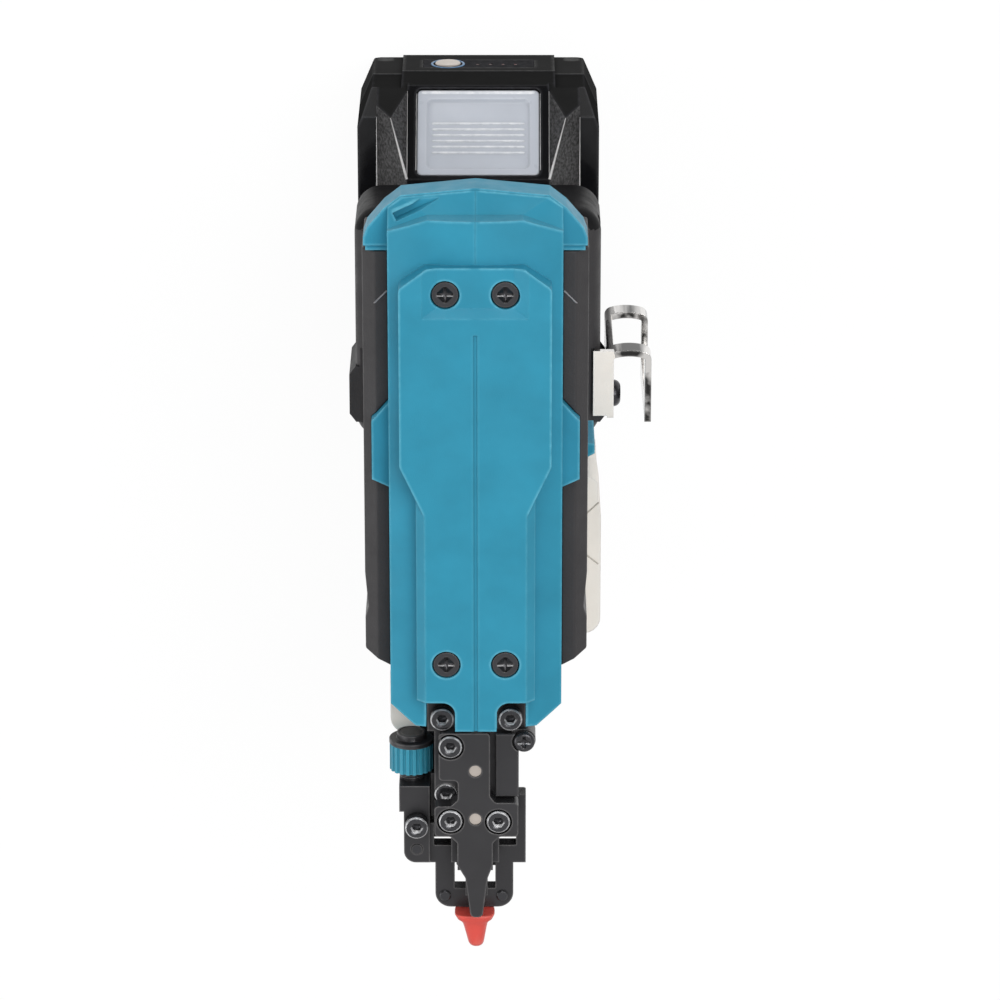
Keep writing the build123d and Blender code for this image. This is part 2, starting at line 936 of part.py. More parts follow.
def terminal_blades():
    """Blades under the contact carrier, reaching into the pack's slots."""
    blades = Part()
    floor = deck_top + 2 * slide_gap
    for offset in blade_offsets:
        blades += span_box((offset - blade_thick / 2, offset + blade_thick / 2), (blade_front, blade_rear),
                           (floor - blade_drop, floor))
    return blades


def controller_board():
    """Circuit board on posts, with a heat spreader and two capacitors."""
    z = bay_floor + board_rise
    board = span_box((-board_half, board_half), (board_front, board_rear), (z, z + board_thick))
    top = z + board_thick
    spreader_rear = board_rear - spreader_inset
    board += span_box((-board_half / 2, board_half / 2), (spreader_rear - spreader_length, spreader_rear),
                      (top, top + spreader_height))
    for x in (-capacitor_x, capacitor_x):
        board += rod_z(x, board_front + capacitor_inset, capacitor_radius, (top, top + capacitor_height))
    return board


def belt_hook():
    """Bent plate: leg on the boss, arched bend with a window, free outer leg, flange over the boss."""
    inner = boss_face + slide_gap / 3
    leg_out = inner + hook_thick
    far_in = leg_out + hook_gap
    height = (hook_low, hook_high)
    middle = leg_out + hook_gap / 2
    strip = span_box((inner, far_in + hook_thick), (hook_tip, hook_rear), height)
    strip &= rod_z(middle, hook_rear - hook_sweep, hook_sweep, height)
    strip = fillet(strip.edges().filter_by(Axis.Z).group_by(Axis.Y)[-1], hook_round)
    hollow = span_box((leg_out, far_in), (hook_tip, hook_rear), height)
    hollow &= rod_z(middle, hook_rear - hook_sweep, hook_sweep - hook_thick, height)
    strip -= fillet(hollow.edges().filter_by(Axis.Z).group_by(Axis.Y)[-1], hook_round - hook_thick)
    strip -= span_box((inner, leg_out), (-reach, hook_front), height)
    window = (hook_low + hook_strip, hook_high - hook_strip)
    strip -= span_box((leg_out, reach), (hook_tip + hook_strip, reach), window)
    strip += span_box((inner - hook_flange_reach, leg_out), (hook_flange_front, hook_flange_rear),
                      (hook_high - hook_thick, hook_high))
    return strip - rod_x(hook_screw_y, hook_screw_z, hook_shank + fit_gap, (inner, leg_out))


def hook_screw():
    """Domed screw of the belt hook."""
    face = boss_face + slide_gap / 3 + hook_thick
    dome = rod_x(hook_screw_y, hook_screw_z, hook_screw_radius, (face, face + hook_screw_dome))
    dome = fillet(dome.edges().sort_by(Axis.X)[-1], hook_screw_dome - slide_gap)
    return dome + rod_x(hook_screw_y, hook_screw_z, hook_shank, (boss_face - hook_shank_length, face))


def handle_core(grow):
    """Handle, swept through its sections; grow thickens it all round."""
    sections = []
    for rise, middle, depth, width in handle_sections:
        plan = RectangleRounded(width + 2 * grow, depth + 2 * grow, handle_corner + grow)
        sections.append(Plane((0, middle, foot_roof + rise)) * plan)
    return loft(sections)


def grip_solid():
    """Rubber round the back and sides of the handle."""
    sleeve = handle_core(grip_thick) - handle_core(0)
    window = span_box((-reach, reach), (grip_front, reach), (foot_roof + grip_low, barrel_floor - grip_drop))
    sleeve &= window
    return sleeve - lock_room() - housing_screw_holes()


def lock_room():
    """Cross hole of the lock button."""
    half = lock_half + lock_travel + slide_gap
    return rod_x(lock_y, barrel_floor - lock_drop - lock_radius, lock_radius + slide_gap, (-half, half))


def barrel_solid():
    """Barrel with its crowned roof, chamfered nose corners and rear facets."""
    right_wall = Line((barrel_half, 0, barrel_floor), (barrel_half, 0, roof_edge))
    crown = ThreePointArc((barrel_half, 0, roof_edge), (0, 0, roof_edge + roof_crown),
                          (-barrel_half, 0, roof_edge))
    left_wall = Line((-barrel_half, 0, roof_edge), (-barrel_half, 0, barrel_floor))
    floor = Line((-barrel_half, 0, barrel_floor), (barrel_half, 0, barrel_floor))
    face = make_face([right_wall, crown, left_wall, floor])
    body = Pos(0, barrel_front, 0) * extrude(face, reach, dir=(0, 1, 0))
    lip = barrel_floor + roof_lip
    rim = barrel_floor + roof_rim
    body -= span_box((-reach, reach), (barrel_rear, reach), (0, lip))
    tail = tapered(roof_lip_plan, lip, roof_rim_plan, rim) + prism_z(both_sides(roof_rim_plan), (rim, reach))
    body &= tail + prism_z(both_sides(roof_lip_plan), (barrel_floor, lip))
    body &= prism_z(both_sides([
        (nose_corner_x, barrel_front), (barrel_half, barrel_front + nose_corner_y), (barrel_half, reach),
    ]), (barrel_floor, reach))
    body -= prism_z(cap_groove_plan, (barrel_floor + cap_groove_floor, reach))
    for side in (-1, 1):
        outline = [
            (side * barrel_half, tab_rear), (side * (barrel_half + tab_proud), tab_rear - tab_bevel_rear),
            (side * (barrel_half + tab_proud), tab_front + tab_bevel_front), (side * barrel_half, tab_front),
            (0, tab_front), (0, tab_rear),
        ]
        body += prism_z(outline, (barrel_floor + tab_low, barrel_floor + tab_high))
    lobe = [
        (0, lobe_rear), (lobe_outer, lobe_rear), (lobe_outer, (lobe_rear + lobe_front) / 2),
        (lobe_outer - tab_bevel_rear, lobe_front), (0, lobe_front),
    ]
    body += prism_z(lobe, (barrel_floor - lobe_depth, barrel_floor + side_cover_low - slide_gap))
    return body


def barrel_rooms():
    """Hollows of the barrel: drive bore, blade channel, lug groove, lifter and nose notches."""
    rooms = rod_y(0, drive_z, drive_bore, (bumper_front, barrel_rear))
    blade_floor = drive_z - blade_low - lug_drop - 2 * slide_gap
    channel = span_box((-channel_half, channel_half), (barrel_front, bumper_front),
                       (blade_floor, drive_z + blade_high + 2 * slide_gap))
    groove = span_box((-channel_half, channel_half), (bumper_front, bumper_front + stroke),
                      (blade_floor, drive_z))
    rooms += channel + groove
    rooms += rod_z(motor_x, motor_y, chamber_inner + chamber_wall + fit_gap,
                   (barrel_floor, drive_z - lifter_sink + fit_gap))
    pin_top = lifter_top + lifter_pin_height
    rooms += rod_z(motor_x, motor_y, chamber_inner, (barrel_floor, pin_top + slide_gap))
    for side in (-1, 1):
        inner, outer = sorted((side * notch_inner, side * notch_outer))
        rooms += span_box((inner, outer), (barrel_front, barrel_front + notch_depth),
                          (plate_z - screw_head_height - slide_gap, reach))
        for y in (cover_screw_rear, cover_screw_front):
            rooms += rod_z(side * cover_screw_x, y, cover_screw_shank + fit_gap,
                           (cover_top - cover_screw_depth - cover_screw_length - pad_drop, reach))
    return rooms


def trigger_room():
    """Slot of the trigger in the handle's front, and the hole of its pin."""
    top = barrel_floor - trigger_slot_drop
    slot = span_box((-trigger_half - slide_gap, trigger_half + slide_gap), (-reach, bore_front),
                    (top - trigger_slot_height, top))
    slot &= span_box((-reach, reach), (-heel_half, reach), (-reach, reach))
    pin = rod_x(trigger_pivot_y, trigger_pivot_z, trigger_pin_radius + fit_gap,
                (-trigger_pin_half, trigger_pin_half))
    return slot + pin


def motor_housing():
    """Upright leg round the motor, with vents on both sides."""
    x = (motor_x - leg_radius, motor_x + leg_radius)
    y = (motor_y - leg_radius, motor_y + leg_radius)
    leg = rounded_block(x, y, (foot_roof, gear_base_z), leg_corner)
    leg -= rod_z(motor_x, motor_y, leg_radius - leg_wall, (foot_roof, gear_base_z))
    for vent in range(vent_count):
        z = foot_roof + vent_low + vent * vent_pitch
        leg -= span_box((-reach, reach), (motor_y - vent_width / 2, motor_y + vent_width / 2),
                        (z, z + vent_height))
    return leg


def housing_solid():
    """Barrel and handle as one moulding, hollow where the works sit."""
    handle = handle_core(0)
    height = (foot_roof + bore_low, barrel_floor - bore_drop)
    bore = span_box((-bore_half, bore_half), (bore_front, bore_rear), height)
    handle -= bore + trigger_room() + lock_room()
    return barrel_solid() - barrel_rooms() + handle - housing_screw_holes()


def end_cap():
    """Rear cover of the barrel with a wing on each side, drawn in below and stepped along its front edge."""
    low = barrel_floor + cap_low
    middle = barrel_floor + cap_middle
    top = barrel_floor + roof_lip
    cap = tapered(cap_low_plan, low, cap_plan, middle) + prism_z(both_sides(cap_plan), (middle, top))
    inner = cap_plan[0][0] - cap_lip_step
    for side in (-1, 1):
        flank = sorted((side * inner, side * reach))
        cap -= span_box(flank, (barrel_rear, barrel_rear + cap_lip), (0, reach))
        shoulder = sorted((side * barrel_half, side * reach))
        cap -= span_box(shoulder, (barrel_rear, barrel_rear + cap_lip), (top - cap_lip_step, reach))
    return cap


def side_cover(side):
    """Dark cover along one flank of the barrel."""
    waist = side_cover_half - side_cover_waist
    outline = [
        (barrel_half, side_cover_rear), (side_cover_half, side_cover_rear),
        (side_cover_half, side_cover_waist_rear), (waist, side_cover_bump_rear),
        (side_cover_half, side_cover_bump_rear - side_cover_bevel), (side_cover_half, side_cover_bump_front),
        (barrel_half, side_cover_front),
    ]
    low = barrel_floor + side_cover_low
    top = barrel_floor + side_cover_top
    cover = prism_z([(side * x, y) for x, y in outline], (low, top))
    shoulder = side_cover_half - side_cover_bevel
    for z, away in ((top, 1), (low, -1)):
        cover -= prism_y([
            (side * side_cover_half, z - away * side_cover_bevel), (side * shoulder, z),
            (side * shoulder, z + away * reach), (side * reach, z + away * reach),
            (side * reach, z - away * side_cover_bevel),
        ], (-reach, reach))
    return cover - barrel_solid()


def cover_screw_places():
    """Place and seat height of the four top cover screws."""
    places = []
    for side in (-1, 1):
        places.append((side * cover_screw_x, cover_screw_rear, cover_top - pad_drop - cover_screw_depth))
        places.append((side * cover_screw_x, cover_screw_front, cover_top - cover_screw_depth))
    return places


def top_cover():
    """Raised plate on the barrel's roof, with a lower pad for the rear screws and a tongue at the nose."""
    outline = both_sides([
        (tongue_half, tongue_front), (tongue_half, cover_front), (cover_neck_half, cover_front),
        (cover_neck_half, cover_neck_y), (cover_half, cover_waist_y), (cover_half, cover_shoulder_y),
        (cover_rear_half, cover_rear),
    ])
    plate = prism_z(outline, (roof_edge, cover_top))
    upright = plate.edges().filter_by(Axis.Z)
    plate = fillet(upright.filter_by(lambda e: e.center().Y > 0), cover_round)
    corners = plate.edges().filter_by(Axis.Z).filter_by(lambda e: abs(e.center().Y - cover_front) < fit_gap)
    inner_corners = corners.filter_by(lambda e: abs(e.center().X) < cover_neck_half - fit_gap)
    plate = fillet(inner_corners, cover_notch_round)
    sides = plate.faces().sort_by(Axis.Z)[-1].edges()
    long_sides = sides.filter_by(Axis.Y).filter_by(lambda e: abs(abs(e.center().X) - cover_neck_half) < 0.1)
    plate = chamfer(long_sides, cover_bevel)
    pad_z = cover_top - pad_drop
    pad = prism_x([
        (pad_front - pad_slope, cover_top), (pad_front, pad_z), (reach, pad_z), (reach, reach),
        (pad_front - pad_slope, reach),
    ], (-reach, reach))
    pad_edge = pad_half + pad_flank
    pad_section = both_sides([(pad_half, pad_z), (pad_edge, cover_top), (pad_edge, reach)])
    plate -= pad & prism_y(pad_section, (0, reach))
    plate -= span_box((-cover_groove / 2, cover_groove / 2), (tongue_front, cover_groove_rear),
                      (cover_top - cover_groove_depth, cover_top))
    for x, y, seat in cover_screw_places():
        plate -= rod_z(x, y, cover_screw_well, (seat, reach))
        plate -= rod_z(x, y, cover_screw_shank + fit_gap, (0, reach))
    return plate - barrel_solid()


def cross_recess(x, y, arm, floor):
    """Cross-shaped recess of a screw head, open at the top."""
    half = blade_thick / 2
    across = span_box((x - arm, x + arm), (y - half, y + half), (floor, reach))
    return across + span_box((x - half, x + half), (y - arm, y + arm), (floor, reach))


def cross_screw(x, y, seat):
    """Cross-head screw with a low head."""
    head = rod_z(x, y, cover_screw_head, (seat, seat + cover_screw_depth - slide_gap))
    head -= cross_recess(x, y, cover_screw_head * 0.62, seat + cover_screw_depth / 2)
    return head + rod_z(x, y, cover_screw_shank, (seat - cover_screw_length, seat))


def cover_screws():
    """Four screws of the top cover."""
    screws = Part()
    for x, y, seat in cover_screw_places():
        screws += cross_screw(x, y, seat)
    return screws


def housing_screws():
    """Screws that draw the housing and foot halves together."""
    screws = Part()
    for face_x, y, z in housing_screw_places():
        seat = face_x - cover_screw_depth - pack_wall
        head = rod_x(y, z, cover_screw_head, (seat, seat + cover_screw_depth))
        screws += head + rod_x(y, z, cover_screw_shank, (-cover_screw_length + slide_gap, seat))
    return screws


def gear_case():
    """Die-cast case round the reduction gear, with the lifter's chamber and the snout under the nose."""
    height = (gear_base_z, gear_roof_z)
    case = rounded_block((gear_left, gear_right), (gear_front, gear_rear), height, gear_corner)
    flank = gear_right - gear_flank_step
    case -= prism_z([
        (flank, gear_rear), (flank, gear_flank_rear + gear_flank_slant), (gear_right, gear_flank_rear),
        (reach, gear_flank_rear), (reach, gear_rear),
    ], (0, reach))
    deck_low = gear_roof_z - gear_corner
    deck = span_box((-deck_half, deck_half), (barrel_front, gear_rear), (deck_low, barrel_floor))
    snout = rounded_block((snout_left, snout_right), (snout_front, barrel_front + gear_corner),
                          (gear_roof_z - gear_corner, snout_top), snout_corner)
    snout &= span_box((-reach, reach), (-reach, barrel_front), (-reach, reach))
    chamber = rod_z(motor_x, motor_y, chamber_inner + chamber_wall, (barrel_floor, drive_z - lifter_sink))
    case += deck + snout + chamber
    case -= rod_z(motor_x, motor_y, chamber_inner, (lifter_floor - slide_gap, reach))
    case -= rod_z(motor_x, motor_y, reducer_radius + fit_gap, (0, foot_roof + reducer_floor + reducer_height))
    top = foot_roof + reducer_floor + reducer_height
    case -= rod_z(motor_x, motor_y, output_radius + slide_gap, (0, top + output_height + slide_gap))
    case -= rod_z(motor_x, motor_y, lifter_shaft + slide_gap, (0, reach))
    bearing_top = lifter_floor - slide_gap
    bearing_span = (bearing_top - lifter_bearing_height, bearing_top)
    case -= rod_z(motor_x, motor_y, lifter_bearing_radius + fit_gap, bearing_span)
    for x in (-mount_screw_x, mount_screw_x):
        case -= rod_z(x, mount_screw_y, screw_shank + fit_gap, (plate_z - mount_screw_length, reach))
    return case


def lifter():
    """Lifter wheel with its upright pins, shaft and output flange."""
    top = foot_roof + reducer_floor + reducer_height
    wheel = rod_z(motor_x, motor_y, lifter_radius, (lifter_floor, lifter_top))
    wheel += rod_z(motor_x, motor_y, lifter_shaft, (top, lifter_floor))
    wheel += rod_z(motor_x, motor_y, output_radius, (top + slide_gap, top + output_height))
    for pin in range(lug_count):
        angle = math.radians(180 + 90 * pin)
        x = motor_x + lifter_pitch * math.cos(angle)
        y = motor_y + lifter_pitch * math.sin(angle)
        wheel += rod_z(x, y, lifter_pin, (lifter_top, lifter_top + lifter_pin_height))
    return wheel


def lifter_bearing():
    """Ball bearing of the lifter's shaft, as a plain ring."""
    top = lifter_floor - slide_gap
    ring = rod_z(motor_x, motor_y, lifter_bearing_radius, (top - lifter_bearing_height, top))
    return ring - rod_z(motor_x, motor_y, lifter_shaft + run_gap, (0, reach))


def reduction_gear():
    """Sealed planetary reduction between the motor's pinion and the lifter."""
    floor = foot_roof + reducer_floor
    unit = rod_z(motor_x, motor_y, reducer_radius, (floor, floor + reducer_height))
    unit -= rod_z(motor_x, motor_y, rotor_shaft + slide_gap, (0, floor + reducer_height / 2))
    return unit


def motor_stator():
    """Stator ring with its six pole teeth."""
    low = foot_roof + stator_low
    height = (low, low + stator_height)
    ring = rod_z(motor_x, motor_y, leg_radius - leg_wall - fit_gap, height)
    ring -= rod_z(motor_x, motor_y, stator_yoke, height)
    for pole in range(pole_count):
        tooth = span_box((stator_inner, stator_yoke + leg_wall / 2), (-pole_half, pole_half), height)
        ring += Pos(motor_x, motor_y, 0) * Rot(0, 0, 360 / pole_count * pole) * tooth
    return ring - rod_z(motor_x, motor_y, stator_inner, height)


def motor_rotor():
    """Rotor core on its shaft, with the cooling fan."""
    low = foot_roof + stator_low
    shaft_top = foot_roof + reducer_floor + reducer_height / 2 - slide_gap
    rotor = rod_z(motor_x, motor_y, rotor_radius, (low, low + stator_height))
    rotor += rod_z(motor_x, motor_y, rotor_shaft, (foot_roof + slide_gap, shaft_top))
    fan_low = low + stator_height + slide_gap
    rotor += rod_z(motor_x, motor_y, fan_radius, (fan_low, fan_low + fan_thick))
    return rotor


def motor_bearings():
    """Bearings at the two ends of the rotor's shaft."""
    fan_top = foot_roof + stator_low + stator_height + slide_gap + fan_thick
    bearings = Part()
    for low in (foot_roof + slide_gap, fan_top + slide_gap):
        ring = rod_z(motor_x, motor_y, motor_bearing_radius, (low, low + motor_bearing_height))
        bearings += ring - rod_z(motor_x, motor_y, rotor_shaft + run_gap, (0, reach))
    return bearings


def bearing_plates():
    """Two spider plates that carry the motor's bearings in the leg."""
    fan_top = foot_roof + stator_low + stator_height + slide_gap + fan_thick
    plates = Part()
    for low in (foot_roof + slide_gap, fan_top + slide_gap):
        disc = rod_z(motor_x, motor_y, leg_radius - leg_wall - fit_gap, (low, low + motor_bearing_height))
        disc -= rod_z(motor_x, motor_y, motor_bearing_radius + fit_gap, (low, low + motor_bearing_height))
        plates += disc
    return plates


def driver():
    """Plunger head, lifting lugs and the thin blade that strikes the pin."""
    plunger = rod_y(0, drive_z, head_radius, (bumper_rear, head_rear))
    blade_front = snout_front
    plunger += span_box((-blade_half, blade_half), (blade_front, bumper_rear),
                        (drive_z - blade_low, drive_z + blade_high))
    first_lug = motor_y + lifter_pin + lug_lead
    spacing = lifter_pitch * math.pi / 2
    for lug in range(lug_count):
        front = first_lug - lug * spacing
        plunger += span_box((-lug_half, lug_half), (front, front + lug_length),
                            (drive_z - blade_low - lug_drop, drive_z - blade_low))
    plunger += span_box((-pin_half, pin_half), (barrel_front - pin_reach, blade_front),
                        (drive_z - pin_half, drive_z + pin_half))
    return plunger


def bumper():
    """Rubber ring that stops the plunger, slotted for the blade and its lugs."""
    ring = rod_y(0, drive_z, drive_bore - slide_gap, (bumper_front, bumper_rear - slide_gap))
    slot = channel_half - slide_gap
    return ring - span_box((-slot, slot), (-reach, reach), (0, drive_z + blade_high + slide_gap))


def spring_guide():
    """Rod behind the plunger that keeps the drive spring straight."""
    rod = rod_y(0, drive_z, guide_radius, (barrel_rear - guide_reach, barrel_rear))
    return rod + rod_y(0, drive_z, drive_bore - slide_gap, (barrel_rear - guide_flange, barrel_rear))


def drive_spring():
    """Envelope of the drive spring, as a plain sleeve."""
    span = (head_rear + slide_gap, barrel_rear - guide_flange - slide_gap)
    return rod_y(0, drive_z, spring_outer, span) - rod_y(0, drive_z, spring_inner, span)


def socket_screw(x, y, seat, length):
    """Hex socket screw standing on its seat."""
    screw = rod_z(x, y, screw_head, (seat, seat + screw_head_height))
    screw = chamfer(screw.edges().sort_by(Axis.Z)[-1], screw_head_bevel)
    screw += rod_z(x, y, screw_shank, (seat - length, seat))
    socket = Plane((x, y, seat + screw_head_height - hex_depth)) * RegularPolygon(hex_radius, 6)
    return screw - extrude(socket, hex_depth)


def nose_screws():
    """All hex socket screws of the nose."""
    screws = Part()
    for x, y in plate_screw_places:
        screws += socket_screw(x, y, plate_top - screw_well_depth, screw_length)
    for x in (-mount_screw_x, mount_screw_x):
        screws += socket_screw(x, mount_screw_y, plate_z, mount_screw_length)
    x, y = low_screw_place
    screws += socket_screw(x, y, plate_z - low_screw_depth, screw_length - low_screw_depth)
    return screws


def dowel_pins():
    """Two hardened pins that align plate and base."""
    pins = Part()
    for x, y in dowel_places:
        pins += rod_z(x, y, dowel_radius, (plate_top - dowel_length, plate_top - slide_gap))
    return pins


def nose_base():
    """Lower nose half: bolted foot on the snout, drive channel, neck and tip, rail for the contact arm."""
    rear = barrel_front - slide_gap
    body = span_box((nose_left, nose_right), (nose_front, rear), (nose_base_z, plate_z))
    body += span_box((nose_left, snout_right), (snout_front, rear), (snout_top, nose_base_z))
    body += span_box((neck_left, neck_right), (neck_front, nose_front), (nose_base_z, plate_z))
    body += span_box((-tip_half, tip_half), (tip_front, neck_front), (drive_z - tip_floor, plate_z))
    body += span_box((nose_left - rail_thick, nose_left), (nose_front, wheel_front - 2 * slide_gap),
                     (drive_z - rail_low, drive_z - rail_high))
    body += span_box((wing_left, nose_left), (wing_front, rear), (snout_top, snout_top + wing_height))
    chin_right = finger_outer - slide_gap
    chin = (nose_base_z, nose_base_z + chin_height)
    body += span_box((nose_left - rail_thick, chin_right), (chin_front, nose_front), chin)
    body += span_box((nose_right, chin_right), (nose_front, finger_rear - chin_inset), chin)
    body += span_box((neck_left - collar_side, neck_right + collar_side), (collar_front, nose_front),
                     (yoke_top + slide_gap, plate_z))
    ear = rod_z(tab_screw_x, tab_screw_y, tab_radius, (drive_z - tip_floor, plate_z))
    ear += span_box((0, tab_screw_x), (tab_screw_y - tab_radius, tab_screw_y + tab_radius),
                    (drive_z - tip_floor, plate_z))
    body += ear
    for side in (-1, 1):
        inner, outer = sorted((side * (notch_inner + fit_gap), side * (notch_outer - fit_gap)))
        lug = (barrel_front - notch_depth, barrel_front + notch_depth - 2 * slide_gap)
        body += span_box((inner, outer), lug, (plate_z - screw_head_height, plate_z))
    body -= span_box((-blade_half - slide_gap, blade_half + slide_gap), (snout_front - slide_gap, reach),
                     (drive_z - blade_low - slide_gap, reach))
    lug_room = lug_half + slide_gap
    body -= span_box((-lug_room, lug_room), (barrel_front - lug_length, reach), (0, drive_z))
    pin_room = pin_half + slide_gap
    body -= span_box((-pin_room, pin_room), (-reach, 0), (drive_z - pin_room, reach))
    for x, y in plate_screw_places:
        body -= rod_z(x, y, screw_shank + fit_gap, (plate_top - screw_well_depth - screw_length, reach))
    for x in (-mount_screw_x, mount_screw_x):
        body -= rod_z(x, mount_screw_y, screw_shank + fit_gap, (0, reach))
    x, y = low_screw_place
    body -= rod_z(x, y, low_screw_well, (plate_z - low_screw_depth, reach))
    body -= rod_z(x, y, screw_shank + fit_gap, (plate_z - screw_length, reach))
    body -= rod_z(tab_screw_x, tab_screw_y, tab_screw_shank + fit_gap, (0, reach))
    return body


def nose_plate():
    """Upper nose half: stepped plate that narrows to the rounded tip over the adapter."""
    left = nose_left
    right = nose_right + plate_lip
    outline = [
        (plate_left, plate_rear), (plate_right, plate_rear), (plate_right, guide_front + plate_lip),
        (guide_left, guide_front - plate_lip), (right, guide_front - plate_lip), (right, nose_front),
        (neck_right + plate_slant, nose_front), (neck_right, nose_front - plate_slant),
        (neck_right, plate_neck_front), (tip_half, neck_front), (plate_tip_half, plate_tip_front),
        (-plate_tip_half, plate_tip_front), (-tip_half, neck_front), (neck_left, plate_neck_front),
        (neck_left, nose_front - plate_slant), (neck_left - plate_slant, nose_front), (left, nose_front),
        (left, plate_notch_front), (plate_notch_right - plate_slant, plate_notch_front),
        (plate_notch_right, plate_notch_front + plate_slant), (plate_notch_right, plate_notch_rear),
        (plate_left, plate_notch_rear),
    ]
    plate = prism_z(outline, (plate_z, plate_top))
    upright = plate.edges().filter_by(Axis.Z)
    plate = fillet(upright.filter_by(lambda e: e.center().Y > neck_front - plate_lip), plate_round)
    plate = fillet(plate.edges().filter_by(Axis.Z).group_by(Axis.Y)[0], plate_tip_round)
    beyond = 2 * plate_tip_front - neck_front
    beyond_z = plate_top - 2 * plate_tip_drop
    fall = [(neck_front, plate_top), (beyond, beyond_z), (beyond, reach), (neck_front, reach)]
    plate -= prism_x(fall, (-reach, reach))
    for x, y in plate_screw_places:
        plate -= rod_z(x, y, screw_well, (plate_top - screw_well_depth, reach))
        plate -= rod_z(x, y, screw_shank + fit_gap, (0, reach))
    for x, y in dowel_places:
        plate -= rod_z(x, y, dowel_radius + fit_gap, (0, reach))
    return plate


def guide_block():
    """Block beside the plate with a rounded tab."""
    block = span_box((guide_left, guide_right), (guide_front, guide_rear), (plate_z, plate_z + guide_height))
    block = chamfer(block.faces().sort_by(Axis.Z)[-1].edges(), slide_gap)
    tab = rod_z(tab_screw_x, tab_screw_y, tab_radius, (plate_z, plate_z + tab_thick))
    width = (tab_screw_y - tab_radius, tab_screw_y + tab_radius)
    tab += span_box((guide_right - tab_thick, tab_screw_x), width, (plate_z, plate_z + tab_thick))
    block += tab
    block -= rod_z(tab_screw_x, tab_screw_y, tab_screw_shank + fit_gap, (0, reach))
    return block - rod_z(tab_screw_x, tab_screw_y, tab_screw_head + slide_gap, (plate_z + tab_thick, reach))


def guide_screw():
    """Pan-head screw of the guide block's tab."""
    seat = plate_z + tab_thick
    head = rod_z(tab_screw_x, tab_screw_y, tab_screw_head, (seat, seat + tab_screw_height))
    head = fillet(head.edges().sort_by(Axis.Z)[-1], tab_screw_height / 2)
    head -= cross_recess(tab_screw_x, tab_screw_y, tab_screw_head * 0.6, seat + tab_screw_height / 2)
    return head + rod_z(tab_screw_x, tab_screw_y, tab_screw_shank, (drive_z - tip_floor, seat))


def contact_arm():
    """Sliding arm beside the nose, its threaded end, and the yoke round the tip."""
    low = drive_z - arm_low
    outline = [
        (arm_right, arm_rear), (arm_left, arm_rear), (arm_left, arm_waist), (arm_left + arm_step, arm_waist),
        (arm_left + arm_step, arm_front), (arm_right, arm_front),
    ]
    arm = prism_z(outline, (low, arm_top))
    corner = arm.edges().filter_by(Axis.Z).sort_by(lambda e: e.center().X + e.center().Y)[0]
    arm = fillet(corner, arm_round)
    arm += rod_y(shaft_x, shaft_z, shaft_radius, (arm_rear, shaft_rear))
    yoke_floor = drive_z - yoke_low
    yoke = span_box((arm_right, finger_outer), (yoke_shoulder, yoke_rear), (yoke_floor, yoke_top))
    yoke += span_box((finger_inner, finger_outer), (yoke_rear, finger_rear), (yoke_floor, yoke_top))
    bow = span_box((yoke_left, yoke_right), (yoke_front, yoke_shoulder), (yoke_floor, yoke_top))
    bow = fillet(bow.edges().filter_by(Axis.Z).group_by(Axis.Y)[0], yoke_round)
    arm += yoke + bow
    arm += span_box((arm_right, nose_left - slide_gap), (yoke_rear, web_rear),
                    (drive_z - rail_high + slide_gap, yoke_top))
    arm -= span_box((fork_left, fork_right), (fork_front, reach), (yoke_floor, yoke_top))
    arm -= rod_z(contact_screw_x(), contact_screw_y, screw_shank + fit_gap, (low, reach))
    return arm - rod_z(contact_screw_x(), contact_pin_y, contact_pin_radius + fit_gap, (low, reach))


def contact_screw_x():
    """Middle of the contact arm's narrow part."""
    return (arm_left + arm_step + arm_right) / 2


def contact_screw():
    """Hex socket screw on the contact arm."""
    return socket_screw(contact_screw_x(), contact_screw_y, arm_top, screw_length)


def contact_pin():
    """Cross pin set in the contact arm."""
    height = (arm_top - screw_length, arm_top + slide_gap)
    return rod_z(contact_screw_x(), contact_pin_y, contact_pin_radius, height)


def contact_rivets():
    """Two rivet heads on the yoke."""
    rivets = Part()
    for x in (rivet_left, rivet_right):
        head = rod_z(x, rivet_y, rivet_radius, (yoke_top, yoke_top + rivet_height))
        rivets += chamfer(head.edges().sort_by(Axis.Z)[-1], rivet_height / 2)
    return rivets


def depth_wheel():
    """Grooved wheel on the contact arm's threaded end."""
    wheel = rod_y(shaft_x, shaft_z, wheel_radius, (wheel_front, wheel_rear))
    for groove in range(wheel_grooves):
        angle = 2 * math.pi * groove / wheel_grooves
        x = shaft_x + wheel_radius * math.cos(angle)
        z = shaft_z + wheel_radius * math.sin(angle)
        wheel -= rod_y(x, z, wheel_groove_radius, (wheel_front, wheel_rear))
    return wheel - rod_y(shaft_x, shaft_z, shaft_radius + run_gap, (-reach, reach))


def wheel_flange():
    """Collar behind the wheel that meets the trip lever."""
    collar = rod_y(shaft_x, shaft_z, flange_radius, (wheel_rear, wheel_rear + flange_thick))
    collar += rod_y(shaft_x, shaft_z, hub_radius, (wheel_rear, wheel_rear + flange_thick + hub_length))
    return collar - rod_y(shaft_x, shaft_z, shaft_radius + run_gap, (-reach, reach))


def nose_adapter():
    """Soft tip that clips in front of the yoke, bored for the pin."""
    rear = yoke_front - slide_gap
    collar_front = rear - adapter_collar
    right = [
        (adapter_half, rear), (adapter_half - adapter_draft, collar_front),
        (adapter_taper_half, collar_front), (adapter_tip_half, adapter_front),
    ]
    outline = [(adapter_x + x, y) for x, y in both_sides(right)]
    tip = prism_z(outline, (drive_z - adapter_low, drive_z + adapter_high))
    front = tip.edges().filter_by(Axis.Z).group_by(Axis.Y)[0]
    tip = fillet(front, adapter_tip_half / 2)
    return tip - rod_y(0, drive_z, adapter_bore, (-reach, rear))


